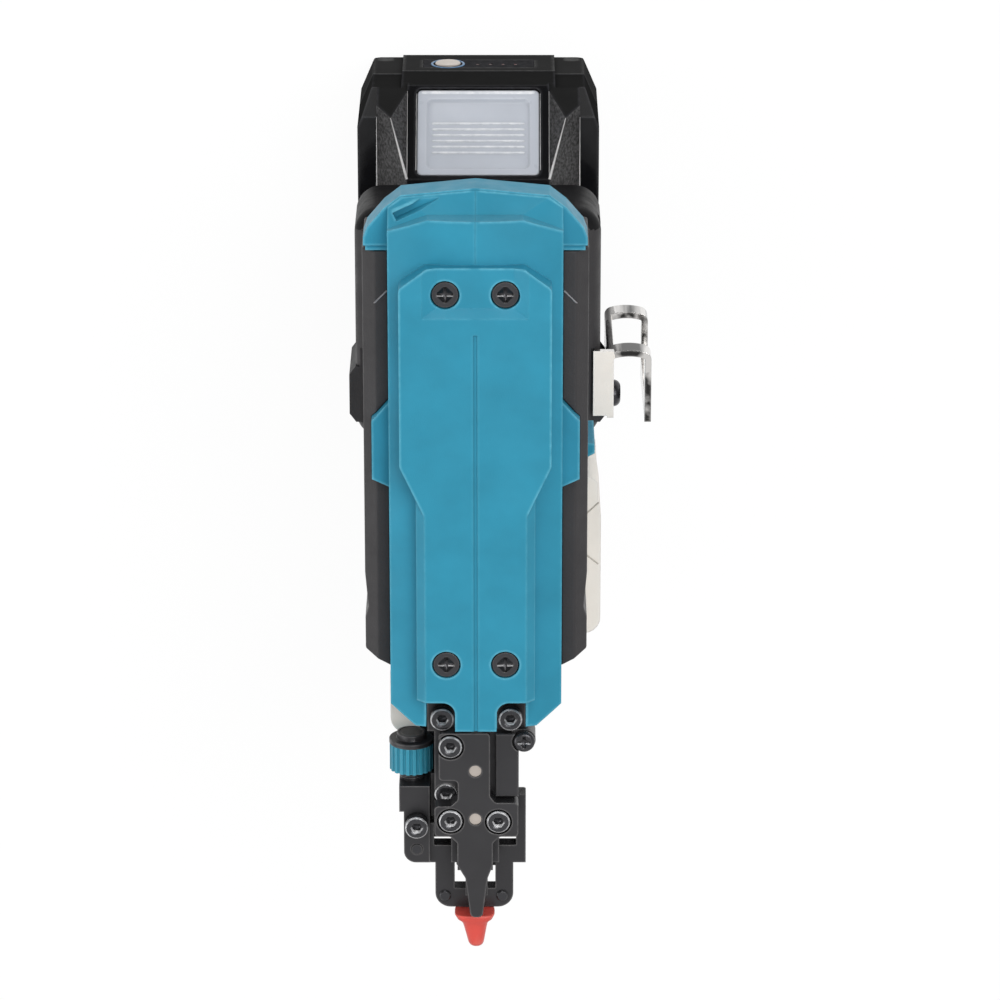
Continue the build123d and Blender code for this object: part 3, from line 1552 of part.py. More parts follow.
def magazine_rail():
    """Fixed half of the magazine with the pusher's track."""
    rail = span_box((-magazine_half, -pin_slot), (magazine_front, magazine_rear), (magazine_low, nose_base_z))
    track = span_box((-pin_slot - pusher_depth, -pin_slot), (pusher_front, pusher_rear),
                     (magazine_low + pusher_depth, nose_base_z - pusher_depth))
    return rail - track


def pusher():
    """Feed slide in the rail's track."""
    top = nose_base_z - pusher_top_gap - slide_gap
    x = (-pin_slot - pusher_depth + slide_gap, -pin_slot)
    y = (pusher_front + slide_gap, pusher_rear - slide_gap)
    return span_box(x, y, (top - pusher_height, top))


def pusher_spring():
    """Envelope of the feed spring under the pusher, as a plain sleeve."""
    x = -pin_slot - pusher_depth / 2
    y = (pusher_front + pusher_rear) / 2
    top = nose_base_z - pusher_top_gap - slide_gap - pusher_height
    span = (magazine_low + pusher_depth, top - slide_gap)
    return rod_z(x, y, pusher_spring_radius, span) - rod_z(x, y, pusher_spring_bore, span)


def magazine_door():
    """Sliding half of the magazine with a sight slot, a thumb grip and the latch's ear and pin."""
    top = nose_base_z - slide_gap
    door = span_box((0, magazine_half), (magazine_front, magazine_rear), (magazine_low, top))
    sight = (pusher_front + pusher_rear) / 2
    door -= span_box((-reach, reach), (sight - door_window_half, sight + door_window_half),
                     (magazine_low + door_window_sill, nose_base_z - door_window_head))
    grip = span_box((magazine_half, magazine_half + door_grip_proud), (magazine_front, magazine_rear),
                    (magazine_low, magazine_low + door_grip_height))
    door += chamfer(grip.faces().sort_by(Axis.X)[-1].edges().filter_by(Axis.Y), door_grip_proud - slide_gap)
    ear = rod_x(latch_y, latch_z, ear_radius, (0, ear_thick))
    ear += span_box((0, ear_thick), (magazine_rear, latch_y), (latch_z - ear_radius, latch_z + ear_radius))
    return door + ear + rod_x(latch_y, latch_z, latch_pin_radius, (0, ear_thick + slide_gap + latch_thick))


def magazine_latch():
    """Small lever on the door's pin."""
    x = (ear_thick + slide_gap, ear_thick + slide_gap + latch_thick)
    lever = prism_x([
        (latch_y - ear_radius, latch_z + ear_radius), (latch_y + ear_radius, latch_z + ear_radius),
        (latch_y + ear_radius + latch_toe, latch_z - 3 * ear_radius),
        (latch_y + latch_toe, latch_z - 4 * ear_radius),
        (latch_y - ear_radius, latch_z - ear_radius),
    ], x)
    return lever - rod_x(latch_y, latch_z, latch_pin_radius + run_gap, (0, reach))


def magazine_bracket():
    """Arm between the bridge and the magazine rail."""
    height = (bracket_low, bracket_low + bracket_height)
    return span_box((-magazine_half, -pin_slot), (magazine_rear, bridge_front), height)


def trigger():
    """Trigger blade with a hollowed front face, hung on its pin."""
    y = trigger_pivot_y
    z = trigger_pivot_z
    brow = (0, y - trigger_reach, z - 1)
    toe = (0, y - trigger_toe, z - trigger_length)
    front = ThreePointArc(brow, (0, y - trigger_hollow, z - trigger_length / 2 - 0.5), toe)
    heel = (0, y - 0.7 * trigger_toe, z - trigger_length - trigger_heel)
    crest = (0, y - 0.45 * trigger_reach, z + trigger_back + 1)
    rest = Polyline(toe, heel, (0, y, z - trigger_length - 1), (0, y + trigger_back, z - 1.5 * trigger_back),
                    (0, y + trigger_back, z + trigger_back), crest, brow)
    blade = extrude(make_face([front, rest]), trigger_half, both=True, dir=(1, 0, 0))
    return blade - rod_x(y, z, trigger_pin_radius + run_gap, (-reach, reach))


def trigger_pin():
    """Pin that the trigger swings on."""
    return rod_x(trigger_pivot_y, trigger_pivot_z, trigger_pin_radius, (-trigger_pin_half, trigger_pin_half))


def main_switch():
    """Switch behind the trigger, with its plunger."""
    half = bore_half - slide_gap
    high = barrel_floor - switch_drop
    low = high - switch_height
    body = span_box((-half, half), (bore_front + slide_gap, bore_rear - slide_gap), (low, high))
    middle = (low + high) / 2
    face = bore_front + slide_gap
    return body + rod_y(0, middle, switch_plunger, (face - switch_plunger, face))


def lock_button():
    """Cross button that blocks the trigger."""
    z = barrel_floor - lock_drop - lock_radius
    button = rod_x(lock_y, z, lock_radius, (-lock_half - lock_travel, lock_half))
    return chamfer(button.edges().filter_by(GeomType.CIRCLE), slide_gap * 2)


housing = housing_solid()
foot = foot_solid()
grip = grip_solid()

nodes = {
    "left_housing": left_half(housing),
    "right_housing": right_half(housing),
    "left_foot": left_half(foot),
    "right_foot": right_half(foot),
    "left_grip": left_half(grip),
    "right_grip": right_half(grip),
    "left_side_cover": side_cover(-1),
    "right_side_cover": side_cover(1),
    "end_cap": end_cap(),
    "top_cover": top_cover(),
    "cover_screws": cover_screws(),
    "housing_screws": housing_screws(),
    "motor_housing": motor_housing(),
    "gear_case": gear_case(),
    "reduction_gear": reduction_gear(),
    "motor_stator": motor_stator(),
    "motor_rotor": motor_rotor(),
    "motor_bearings": motor_bearings(),
    "bearing_plates": bearing_plates(),
    "lifter": lifter(),
    "lifter_bearing": lifter_bearing(),
    "driver": driver(),
    "drive_spring": drive_spring(),
    "spring_guide": spring_guide(),
    "bumper": bumper(),
    "nose_base": nose_base(),
    "nose_plate": nose_plate(),
    "nose_screws": nose_screws(),
    "dowel_pins": dowel_pins(),
    "guide_block": guide_block(),
    "guide_screw": guide_screw(),
    "contact_arm": contact_arm(),
    "contact_screw": contact_screw(),
    "contact_pin": contact_pin(),
    "contact_rivets": contact_rivets(),
    "depth_wheel": depth_wheel(),
    "wheel_flange": wheel_flange(),
    "nose_adapter": nose_adapter(),
    "magazine_rail": magazine_rail(),
    "magazine_bracket": magazine_bracket(),
    "magazine_door": magazine_door(),
    "magazine_latch": magazine_latch(),
    "pusher": pusher(),
    "pusher_spring": pusher_spring(),
    "trigger": trigger(),
    "trigger_pin": trigger_pin(),
    "main_switch": main_switch(),
    "lock_button": lock_button(),
    "controller_board": controller_board(),
    "terminal_block": terminal_block(),
    "terminal_blades": terminal_blades(),
    "belt_hook": belt_hook(),
    "hook_screw": hook_screw(),
    "battery_lower_case": battery_lower_case(),
    "battery_upper_case": battery_upper_case(),
    "battery_cells": battery_cells(),
    "pack_screws": pack_screws(),
    "release_button": release_button(),
    "charge_gauge": charge_gauge(),
    "check_button": check_button(),
}

os.makedirs("parts", exist_ok=True)
for name, solid in nodes.items():
    export_step(solid, f"parts/{name}.step")
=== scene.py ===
"""Looks of the cordless pin nailer: finishes, small details, studio and camera, in metres."""
import json
import math

import bmesh
import bpy
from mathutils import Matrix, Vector
from mathutils.bvhtree import BVHTree


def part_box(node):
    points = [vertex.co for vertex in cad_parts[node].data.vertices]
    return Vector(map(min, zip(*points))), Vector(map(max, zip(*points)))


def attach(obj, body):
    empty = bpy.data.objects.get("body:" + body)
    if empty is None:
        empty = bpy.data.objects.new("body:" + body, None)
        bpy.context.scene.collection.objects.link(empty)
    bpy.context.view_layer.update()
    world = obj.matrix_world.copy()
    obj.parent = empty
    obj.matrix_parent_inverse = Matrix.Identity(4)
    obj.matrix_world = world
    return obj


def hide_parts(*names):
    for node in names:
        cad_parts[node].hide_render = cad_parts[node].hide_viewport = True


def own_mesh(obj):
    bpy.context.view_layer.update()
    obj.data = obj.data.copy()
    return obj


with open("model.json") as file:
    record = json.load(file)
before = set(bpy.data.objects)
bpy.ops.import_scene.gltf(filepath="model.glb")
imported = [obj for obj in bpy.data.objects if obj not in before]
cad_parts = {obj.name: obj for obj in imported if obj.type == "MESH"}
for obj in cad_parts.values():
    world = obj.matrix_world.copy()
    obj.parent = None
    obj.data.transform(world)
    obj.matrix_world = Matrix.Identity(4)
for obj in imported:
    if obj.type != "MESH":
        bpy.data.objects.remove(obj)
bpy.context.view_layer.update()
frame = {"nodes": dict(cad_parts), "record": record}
nodes = frame["nodes"]
record = frame["record"]
body_of = {node: body for body, members in record["behaviour"]["bodies"].items() for node in members}
slot_of = {entry["node"]: entry["material_slot"] for entry in record["subparts"]}
MM = 0.001


# Materials

SURFACE_IOR = 1.5
NOISE_BAND = (0.3, 0.7)  # where most of the noise lies
CORNER_BAND = (0.95, 0.55)  # open share where a corner begins, and where it is full
RUB_AND_HIGHLIGHT_MM, LEAST_RUB_AND_HIGHLIGHT = 2.2, 0.4  # patches of wear and painted highlight along an edge, and their share between them
# how much lighter the painted edge highlight is, and how much darker the painted shade in hollow corners
EDGE_HIGHLIGHT_LIGHTER, HOLLOW_SHADE_DARKER = 1.6, 0.3
SEAM_BAND_MM, SEAM_WEAR_AND_HIGHLIGHT = (0.8, 1.6), 0.25  # distances from the housing's seam where edge wear and painted highlight fade, and their share there
# reach of the painted shade in hollow corners
HOLLOW_SHADE_REACH_MM = 2.0
GLOSS_MM, LEAST_ROUGH = 5.0, 0.02
GRAIN_DEPTH_MM = 0.2
CORNER_SAMPLES = 4


def add(tree, kind, **values):
    """New shader node with its plain settings."""
    node = tree.nodes.new(kind)
    for name, value in values.items():
        setattr(node, name, value)
    return node


def noise(tree, coords, size_mm, detail=3.0, roughness=0.55):
    """Noise whose blobs are about size_mm across."""
    texture = add(tree, "ShaderNodeTexNoise")
    texture.inputs["Scale"].default_value = 1.0 / (size_mm * MM)
    texture.inputs["Detail"].default_value = detail
    texture.inputs["Roughness"].default_value = roughness
    tree.links.new(coords, texture.inputs["Vector"])
    return texture.outputs["Fac"]


def remap(tree, value, low, high, to_low, to_high):
    """Value carried from one range to another and held there."""
    node = add(tree, "ShaderNodeMapRange")
    for name, number in (("From Min", low), ("From Max", high), ("To Min", to_low), ("To Max", to_high)):
        node.inputs[name].default_value = number
    tree.links.new(value, node.inputs["Value"])
    return node.outputs["Result"]


def combine(tree, operation, first, second):
    """Result of an operation on two values."""
    node = add(tree, "ShaderNodeMath", operation=operation)
    tree.links.new(first, node.inputs[0])
    tree.links.new(second, node.inputs[1])
    return node.outputs["Value"]


def blend(tree, share, first, second):
    """Colour between two colours; each is a socket or three numbers."""
    node = add(tree, "ShaderNodeMix", data_type="RGBA")
    tree.links.new(share, node.inputs["Factor"])
    for name, colour in (("A", first), ("B", second)):
        socket = [s for s in node.inputs if s.name == name and s.type == "RGBA"][0]
        if isinstance(colour, tuple):
            socket.default_value = (*colour, 1.0)
        else:
            tree.links.new(colour, socket)
    return [s for s in node.outputs if s.type == "RGBA"][0]


def scaled(colour, factor):
    """Colour made lighter or darker."""
    return tuple(min(1.0, channel * factor) for channel in colour)


def corners(tree, reach_mm, outer):
    """1 along the shape's outer corners, or in its hollow ones."""
    rays = add(tree, "ShaderNodeAmbientOcclusion", samples=CORNER_SAMPLES, inside=outer, only_local=outer)
    rays.inputs["Distance"].default_value = reach_mm * MM
    return remap(tree, rays.outputs["AO"], *CORNER_BAND, 0.0, 1.0)


def relief(tree, height, strength, depth_mm, normal):
    """Normal with a height field pressed into it."""
    bump = add(tree, "ShaderNodeBump")
    bump.inputs["Strength"].default_value = strength
    bump.inputs["Distance"].default_value = depth_mm * MM
    tree.links.new(height, bump.inputs["Height"])
    tree.links.new(normal, bump.inputs["Normal"])
    return bump.outputs["Normal"]


def finish_of(name, colour, rough, metallic=0.0, grain_mm=0.35, grain=0.15, patch_mm=14.0, patch=0.07,
              patch_range=NOISE_BAND, rough_spread=0.08, edge_mm=0.35, edge_highlight_colour=None, edge_highlight_share=0.5, hollow_shade_share=0.3,
              specular=0.5, stretch=1.0, seam=False):
    """Moulded, cast or turned surface: colour patches, grain, uneven gloss, edge wear with a painted highlight along
    outer edges, painted shade in hollow corners.
    """
    material = bpy.data.materials.new(name)
    material.use_nodes = True
    tree = material.node_tree
    shader = tree.nodes["Principled BSDF"]
    shader.inputs["Metallic"].default_value = metallic
    shader.inputs["Specular IOR Level"].default_value = specular
    shader.inputs["IOR"].default_value = SURFACE_IOR
    coords = add(tree, "ShaderNodeTexCoord").outputs["Object"]
    stretched = add(tree, "ShaderNodeMapping")
    stretched.inputs["Scale"].default_value = (1.0, 1.0, stretch)
    tree.links.new(coords, stretched.inputs["Vector"])
    patches = remap(tree, noise(tree, stretched.outputs["Vector"], patch_mm), *patch_range, 0.0, 1.0)
    base = blend(tree, patches, scaled(colour, 1.0 - patch), scaled(colour, 1.0 + patch))
    # outer edges lightened in patches: partly wear, mostly a painted highlight
    wear_and_highlight_patches = remap(tree, noise(tree, coords, RUB_AND_HIGHLIGHT_MM), *NOISE_BAND, LEAST_RUB_AND_HIGHLIGHT * edge_highlight_share, edge_highlight_share)
    worn_and_highlit = combine(tree, "MULTIPLY", corners(tree, 2 * edge_mm, True), wear_and_highlight_patches)
    if seam:
        split = add(tree, "ShaderNodeSeparateXYZ")
        tree.links.new(coords, split.inputs["Vector"])
        off_seam = add(tree, "ShaderNodeMath", operation="ABSOLUTE")
        tree.links.new(split.outputs["X"], off_seam.inputs[0])
        fade = (distance * MM for distance in SEAM_BAND_MM)
        worn_and_highlit = combine(tree, "MULTIPLY", worn_and_highlit, remap(tree, off_seam.outputs["Value"], *fade, SEAM_WEAR_AND_HIGHLIGHT, 1.0))
    base = blend(tree, worn_and_highlit, base, edge_highlight_colour or scaled(colour, EDGE_HIGHLIGHT_LIGHTER))
    # painted shade: hollow corners and joints blended towards a darker copy of the colour
    painted_corner_darkening = remap(tree, corners(tree, HOLLOW_SHADE_REACH_MM, False), 0.0, 1.0, 0.0, hollow_shade_share)
    tree.links.new(blend(tree, painted_corner_darkening, base, scaled(colour, HOLLOW_SHADE_DARKER)), shader.inputs["Base Color"])
    gloss = remap(tree, noise(tree, coords, GLOSS_MM), *NOISE_BAND, max(LEAST_ROUGH, rough - rough_spread),
                  rough + rough_spread)
    tree.links.new(gloss, shader.inputs["Roughness"])
    rounded = add(tree, "ShaderNodeBevel", samples=CORNER_SAMPLES)
    rounded.inputs["Radius"].default_value = edge_mm * MM
    normal = relief(tree, noise(tree, coords, grain_mm), grain, GRAIN_DEPTH_MM, rounded.outputs["Normal"])
    tree.links.new(normal, shader.inputs["Normal"])
    return material


TEAL = (0.030, 0.264, 0.395)
# lighter teal painted along outer edges as their highlight
TEAL_EDGE_HIGHLIGHT = (0.17, 0.55, 0.70)
CHARCOAL = (0.035, 0.033, 0.035)
JET = (0.006, 0.006, 0.007)
GUNMETAL = (0.044, 0.043, 0.046)
FINISHES = {
    "teal_plastic": dict(colour=TEAL, rough=0.42, grain_mm=0.45, grain=0.16, edge_mm=0.42, edge_highlight_colour=TEAL_EDGE_HIGHLIGHT,
                         edge_highlight_share=0.8, hollow_shade_share=0.12, specular=0.2, seam=True),
    "wheel_teal": dict(colour=(0.036, 0.31, 0.44), rough=0.40, grain=0.1, edge_mm=0.3, edge_highlight_colour=TEAL_EDGE_HIGHLIGHT,
                       specular=0.3),
    "dark_plastic": dict(colour=CHARCOAL, rough=0.50, grain_mm=0.55, grain=0.4, edge_highlight_share=0.4, specular=0.35),
    # light grey painted on the side covers' crease ridges as their highlight
    "crease_highlight_plastic": dict(colour=(0.26, 0.25, 0.26), rough=0.50, grain=0.2, hollow_shade_share=0.0),
    # darker copy of the foot's plastic, painted as shade on its rear faces
    "foot_painted_shade": dict(colour=(0.010, 0.010, 0.011), rough=0.45, grain_mm=0.55, grain=0.3, edge_highlight_share=0.3,
                       specular=0.1),
    "grip_rubber": dict(colour=(0.020, 0.020, 0.021), rough=0.75, grain_mm=0.8, grain=0.5),
    "battery_plastic": dict(colour=JET, rough=0.16, grain=0.03, rough_spread=0.05, edge_mm=0.5,
                            edge_highlight_colour=(0.10, 0.10, 0.11), edge_highlight_share=0.4, specular=0.3),
    # matte copies of the pack's black for rear-facing faces: a painted sheen stands in for their reflection, with a
    # painted rim highlight on the foot
    "battery_end_painted_sheen": dict(colour=(0.019, 0.019, 0.019), rough=0.50, grain_mm=0.4, grain=0.2, edge_mm=0.5,
                        edge_highlight_colour=(0.09, 0.09, 0.10), specular=0.0),
    "battery_foot_painted_sheen": dict(colour=(0.036, 0.036, 0.036), rough=0.50, grain_mm=0.4, grain=0.2, edge_mm=0.7,
                         edge_highlight_colour=(0.16, 0.16, 0.16), edge_highlight_share=0.7, specular=0.0),
    "battery_grain": dict(colour=(0.048, 0.047, 0.048), rough=0.40, grain_mm=0.8, grain=0.9, patch_mm=0.9,
                          patch=0.7, patch_range=(0.38, 0.64), edge_mm=0.4, edge_highlight_colour=(0.10, 0.10, 0.10),
                          edge_highlight_share=0.3, specular=0.2),
    # light grey strips painted along the pack's edges as highlights
    "edge_shine": dict(colour=(0.55, 0.54, 0.54), rough=0.30, grain=0.1, patch_mm=3.0, patch=0.3, hollow_shade_share=0.0),
    "pale_plastic": dict(colour=(0.53, 0.56, 0.62), rough=0.35, grain=0.04, patch=0.03, edge_mm=0.3,
                         edge_highlight_colour=(0.95, 0.96, 0.98), edge_highlight_share=0.8),
    "cast_metal": dict(colour=(0.92, 0.87, 0.80), rough=0.5, grain_mm=0.4, grain=0.3, patch=0.03, edge_mm=0.6,
                       edge_highlight_colour=(0.95, 0.93, 0.90)),
    "cast_seam": dict(colour=(0.50, 0.46, 0.40), rough=0.5, grain_mm=0.4, grain=0.3),
    "black_steel": dict(colour=GUNMETAL, rough=0.36, metallic=0.5, grain_mm=0.3, grain=0.12, edge_mm=0.25,
                        edge_highlight_colour=(0.26, 0.25, 0.25), edge_highlight_share=0.7),
    "screw_steel": dict(colour=(0.055, 0.055, 0.060), rough=0.26, metallic=0.7, grain_mm=0.5, grain=0.3,
                        edge_mm=0.2, edge_highlight_colour=(0.20, 0.19, 0.18)),
    # light steel painted on screw recesses and rims as glints
    "painted_glint_steel": dict(colour=(0.52, 0.52, 0.53), rough=0.30, metallic=0.2, grain_mm=0.4, grain=0.3, patch_mm=1.2,
                         patch=0.5, hollow_shade_share=0.0),
    "bright_steel": dict(colour=(0.56, 0.50, 0.45), rough=0.35, metallic=0.6, grain_mm=0.25, grain=0.1, edge_mm=0.2),
    # stretched light and dark bands on the chrome: painted reflections
    "hook_chrome": dict(colour=(0.40, 0.39, 0.38), rough=0.10, metallic=1.0, grain_mm=0.9, grain=0.02, patch_mm=8.0,
                        patch=0.9, patch_range=(0.44, 0.58), stretch=0.08, rough_spread=0.04, edge_mm=0.3),
    # pale cream on the top of the hook's flange: a painted reflection in place of the chrome's
    "hook_top_painted_sheen": dict(colour=(0.95, 0.89, 0.82), rough=0.45, grain_mm=0.4, grain=0.2, patch=0.03, edge_mm=0.3,
                       hollow_shade_share=0.1),
    "magazine_aluminium": dict(colour=(0.030, 0.030, 0.031), rough=0.4, metallic=0.4, grain_mm=0.3, grain=0.1,
                               edge_highlight_colour=(0.30, 0.29, 0.28)),
    "red_rubber": dict(colour=(0.74, 0.080, 0.060), rough=0.4, grain=0.05, edge_mm=0.5,
                       edge_highlight_colour=(0.85, 0.20, 0.16), hollow_shade_share=0.0),
    "lock_plastic": dict(colour=(0.02, 0.02, 0.02), rough=0.3, grain=0.05),
    "cell_wrap": dict(colour=(0.08, 0.28, 0.18), rough=0.35, grain=0.03),
    "board_laminate": dict(colour=(0.02, 0.15, 0.06), rough=0.4, grain=0.1),
    "contact_brass": dict(colour=(0.70, 0.48, 0.18), rough=0.25, metallic=1.0, grain=0.03),
    "lamp_lens": dict(colour=(0.10, 0.015, 0.012), rough=0.15, grain=0.02),
    "ring_blue": dict(colour=(0.05, 0.16, 0.32), rough=0.3, grain=0.03),
}
finishes = {name: finish_of(name, **settings) for name, settings in FINISHES.items()}
finish_name = {**slot_of, "depth_wheel": "wheel_teal"}
for name, node in nodes.items():
    node.data.materials.clear()
    node.data.materials.append(finishes[finish_name[name]])


# Meshes

WELD = 0.002 * MM
# Angles in degrees up to which a surface is shaded smooth
ROUNDED_CREASE, SCREW_CREASE, WOUND_CREASE, SOFT_CREASE, NO_CREASE = 28, 30, 40, 50, 180


def smooth(mesh, crease):
    """Shades a mesh smooth, but for edges sharper than the crease."""
    mesh.shade_smooth()
    mesh.set_sharp_from_angle(angle=math.radians(crease))


def mesh_of(name, points, faces, crease=None, turn_out=False):
    """Mesh of points and faces, flat where it has no crease; its faces are turned outward where asked."""
    mesh = bpy.data.meshes.new(name)
    mesh.from_pydata(points, [], faces)
    if turn_out:
        work = bmesh.new()
        work.from_mesh(mesh)
        bmesh.ops.recalc_face_normals(work, faces=work.faces)
        work.to_mesh(mesh)
        work.free()
    if crease:
        smooth(mesh, crease)
    return mesh


def bands(first, rows, size, turned=False, closed=False):
    """Faces between neighbouring rows of points, where each row is a ring; closed joins the last row to the first."""
    faces = []
    for row in range(rows if closed else rows - 1):
        here, onward = first + row * size, first + (row + 1) % rows * size
        for corner in range(size):
            beside = (corner + 1) % size
            if turned:
                faces.append((here + corner, here + beside, onward + beside, onward + corner))
            else:
                faces.append((here + corner, onward + corner, onward + beside, here + beside))
    return faces


# Pieces that stand for nodes

FLAT_ANGLE = math.radians(0.6)
SEAM_HALF = 0.05 * MM
RECESS_SHARE, RIM_SHARE = 0.6, 0.7  # of a screw head's radius: where its recess ends, and where its rim begins
STEEP, TOWARDS_REAR = 0.5, 0.2  # of the normals of a recess's walls that get a painted glint
RIM_SLOPE = (0.6, 0.8)
FLANGE_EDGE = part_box("belt_hook")[0][0] + 6.6 * MM


def put(name, mesh, finish, node, replaced=()):
    """Object of a mesh with a finish, which rides and takes its slot as a node does."""
    mesh.materials.clear()
    mesh.materials.append(finishes[finish])
    piece = bpy.data.objects.new(name, mesh)
    bpy.context.collection.objects.link(piece)
    if replaced:
        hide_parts(*replaced)
    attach(piece, body_of[node])
    return piece


def skin(node):
    """Copy of a node's mesh that stands for it."""
    return put(node + "_skin", nodes[node].data.copy(), slot_of[node], node, [node])


def rounded_skin(node, edge_mm):
    """Skin whose sharp edges are rounded, but for those on the tool's seam."""
    piece = skin(node)
    work = bmesh.new()
    work.from_mesh(piece.data)
    bmesh.ops.remove_doubles(work, verts=work.verts, dist=WELD)
    bmesh.ops.dissolve_limit(work, angle_limit=FLAT_ANGLE, verts=work.verts, edges=work.edges)
    weight = work.edges.layers.float.new("bevel_weight_edge")
    for edge in work.edges:
        on_seam = all(abs(corner.co.x) < SEAM_HALF for corner in edge.verts)
        if len(edge.link_faces) == 2 and edge.calc_face_angle() > math.radians(ROUNDED_CREASE) and not on_seam:
            edge[weight] = 1.0
    work.to_mesh(piece.data)
    work.free()
    smooth(piece.data, ROUNDED_CREASE)
    rounding = piece.modifiers.new("rounding", "BEVEL")
    rounding.width = edge_mm * MM
    rounding.segments = 2
    rounding.limit_method = "WEIGHT"
    rounding.use_clamp_overlap = False
    rounding.harden_normals = True


def dress(node, tests_by_finish):
    """Skin that takes another finish on the faces that its test picks by middle and normal."""
    piece = skin(node)
    for finish, chosen in tests_by_finish.items():
        piece.data.materials.append(finishes[finish])
        index = len(piece.data.materials) - 1
        for face in piece.data.polygons:
            if chosen(face.center, face.normal):
                face.material_index = index


def islands(work):
    """Groups of faces that hang together."""
    left = set(work.faces)
    while left:
        group, waiting = [], [left.pop()]
        while waiting:
            face = waiting.pop()
            group.append(face)
            for edge in face.edges:
                beside = [other for other in edge.link_faces if other in left]
                left.difference_update(beside)
                waiting += beside
        yield group


def shining_screws(node, rims):
    """Screws with a painted glint on the rear-facing walls of their drive recess, and on their rim where asked."""
    piece = skin(node)
    piece.data.materials.append(finishes["painted_glint_steel"])
    work = bmesh.new()
    work.from_mesh(piece.data)
    bmesh.ops.remove_doubles(work, verts=work.verts, dist=WELD)
    for group in islands(work):
        places = [corner.co for face in group for corner in face.verts]
        low = [min(place[axis] for place in places) for axis in range(2)]
        high = [max(place[axis] for place in places) for axis in range(2)]
        head = (high[0] - low[0]) / 2
        for face in group:
            place = face.calc_center_median()
            offset = math.hypot(place.x - (low[0] + high[0]) / 2, place.y - (low[1] + high[1]) / 2)
            glint_wall = abs(face.normal.z) < STEEP and face.normal.y > TOWARDS_REAR
            in_recess = offset < RECESS_SHARE * head and glint_wall
            on_rim = rims and offset > RIM_SHARE * head and RIM_SLOPE[0] < face.normal.z < RIM_SLOPE[1]
            if in_recess or on_rim:
                face.material_index = 1
    work.to_mesh(piece.data)
    work.free()
    smooth(piece.data, SCREW_CREASE)


def of_flange(middle, normal):
    """Whether a face is the top of the belt hook's flange."""
    return normal.z > 0.9 and middle.x < FLANGE_EDGE


def of_cheek(middle, normal):
    """Whether a face is one of the pack's sloping cheeks."""
    return abs(normal.x) > 0.5 and normal.z > 0.25


def of_rear_end(middle, normal):
    """Whether a face belongs to the pack's rear end."""
    return normal.y > 0.3 and normal.z < 0.4


def of_foot_rear(middle, normal):
    """Whether a face of the foot looks to the rear."""
    return normal.y > 0.15


# Widths of the rounded edges, in millimetres
ROUNDED_EDGES = {
    "left_side_cover": 0.5, "right_side_cover": 0.5, "wheel_flange": 0.25, "magazine_rail": 0.4,
    "magazine_bracket": 0.4, "magazine_latch": 0.3, "trigger": 0.5, "lock_button": 0.4, "left_grip": 0.4,
    "right_grip": 0.4,
}
for name, edge_mm in ROUNDED_EDGES.items():
    rounded_skin(name, edge_mm)

# top faces of the hook's flange take a pale matte copy: a painted reflection
dress("belt_hook", {"hook_top_painted_sheen": of_flange})
# the cheeks take their grain; rear-facing faces of the pack and gauge take matte copies with a painted sheen in place
# of reflection
dress("battery_upper_case", {"battery_grain": of_cheek, "battery_end_painted_sheen": of_rear_end})
dress("battery_lower_case", {"battery_foot_painted_sheen": of_rear_end})
dress("charge_gauge", {"battery_end_painted_sheen": of_rear_end})
# the feet's rear-facing faces take a darker copy of their plastic: painted shade
for name in ("left_foot", "right_foot"):
    dress(name, {"foot_painted_shade": of_foot_rear})
for name, rims in (("nose_screws", True), ("contact_screw", True), ("cover_screws", False), ("guide_screw", False)):
    shining_screws(name, rims)


# Springs, threaded shaft and the strips under the nose

def wound(start, axis, length, radius, turns, profile, steps=24):
    """Mesh of a profile wound round an axis, a closed ring where it has no length; the profile's points are outward
    and lengthwise steps."""
    along = Vector(axis).normalized()
    across = along.orthogonal().normalized()
    upward = along.cross(across)
    count = turns * steps
    rows = count + 1 if length else count
    points = []
    for step in range(rows):
        angle = 2 * math.pi * step / steps
        out = across * math.cos(angle) + upward * math.sin(angle)
        middle = Vector(start) + along * (length * step / count) + out * radius
        points += [middle + out * outward + along * lengthwise for outward, lengthwise in profile]
    size = len(profile)
    faces = [tuple(range(size)), tuple(range(len(points) - 1, len(points) - size - 1, -1))] if length else []
    faces += bands(0, rows, size, closed=not length)
    return mesh_of("wound", points, faces, WOUND_CREASE)


def slab(corners_mm, low_mm, high_mm):
    """Mesh of a flat plate with a bevelled top edge."""
    outline = [Vector((x, y, 0)) * MM for x, y in corners_mm]
    middle = sum(outline, Vector()) / len(outline)
    bevel = 0.2 * MM
    points = [corner + Vector((0, 0, low_mm * MM)) for corner in outline]
    points += [corner + Vector((0, 0, high_mm * MM - bevel)) for corner in outline]
    inset = [corner + (middle - corner).normalized() * bevel for corner in outline]
    points += [corner + Vector((0, 0, high_mm * MM)) for corner in inset]
    size = len(outline)
    faces = [tuple(range(size - 1, -1, -1)), tuple(range(2 * size, 3 * size))]
    faces += bands(0, 3, size, turned=True)
    return mesh_of("slab", points, faces)


def wire(radius, sides=8):
    """Round profile of a wire."""
    turns = [2 * math.pi * side / sides for side in range(sides)]
    return [(radius * math.cos(turn), radius * math.sin(turn)) for turn in turns]


def spring(node, axis, wire_radius, turns):
    """Coil in the room of a spring's sleeve."""
    low, high = (Vector(corner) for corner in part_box(node))
    direction = Vector(axis)
    middle = (low + high) / 2
    length = abs((high - low).dot(direction))
    outer = sorted(high - low)[0] / 2
    start = middle - direction * (length / 2 - wire_radius)
    mesh = wound(start, direction, length - 2 * wire_radius, outer - wire_radius, turns, wire(wire_radius))
    piece = put(node + "_coil", mesh, "bright_steel", node, [node])
    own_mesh(piece)


spring("drive_spring", axis=(0, 1, 0), wire_radius=1.9 * MM, turns=9)
spring("pusher_spring", axis=(0, 0, 1), wire_radius=0.24 * MM, turns=60)

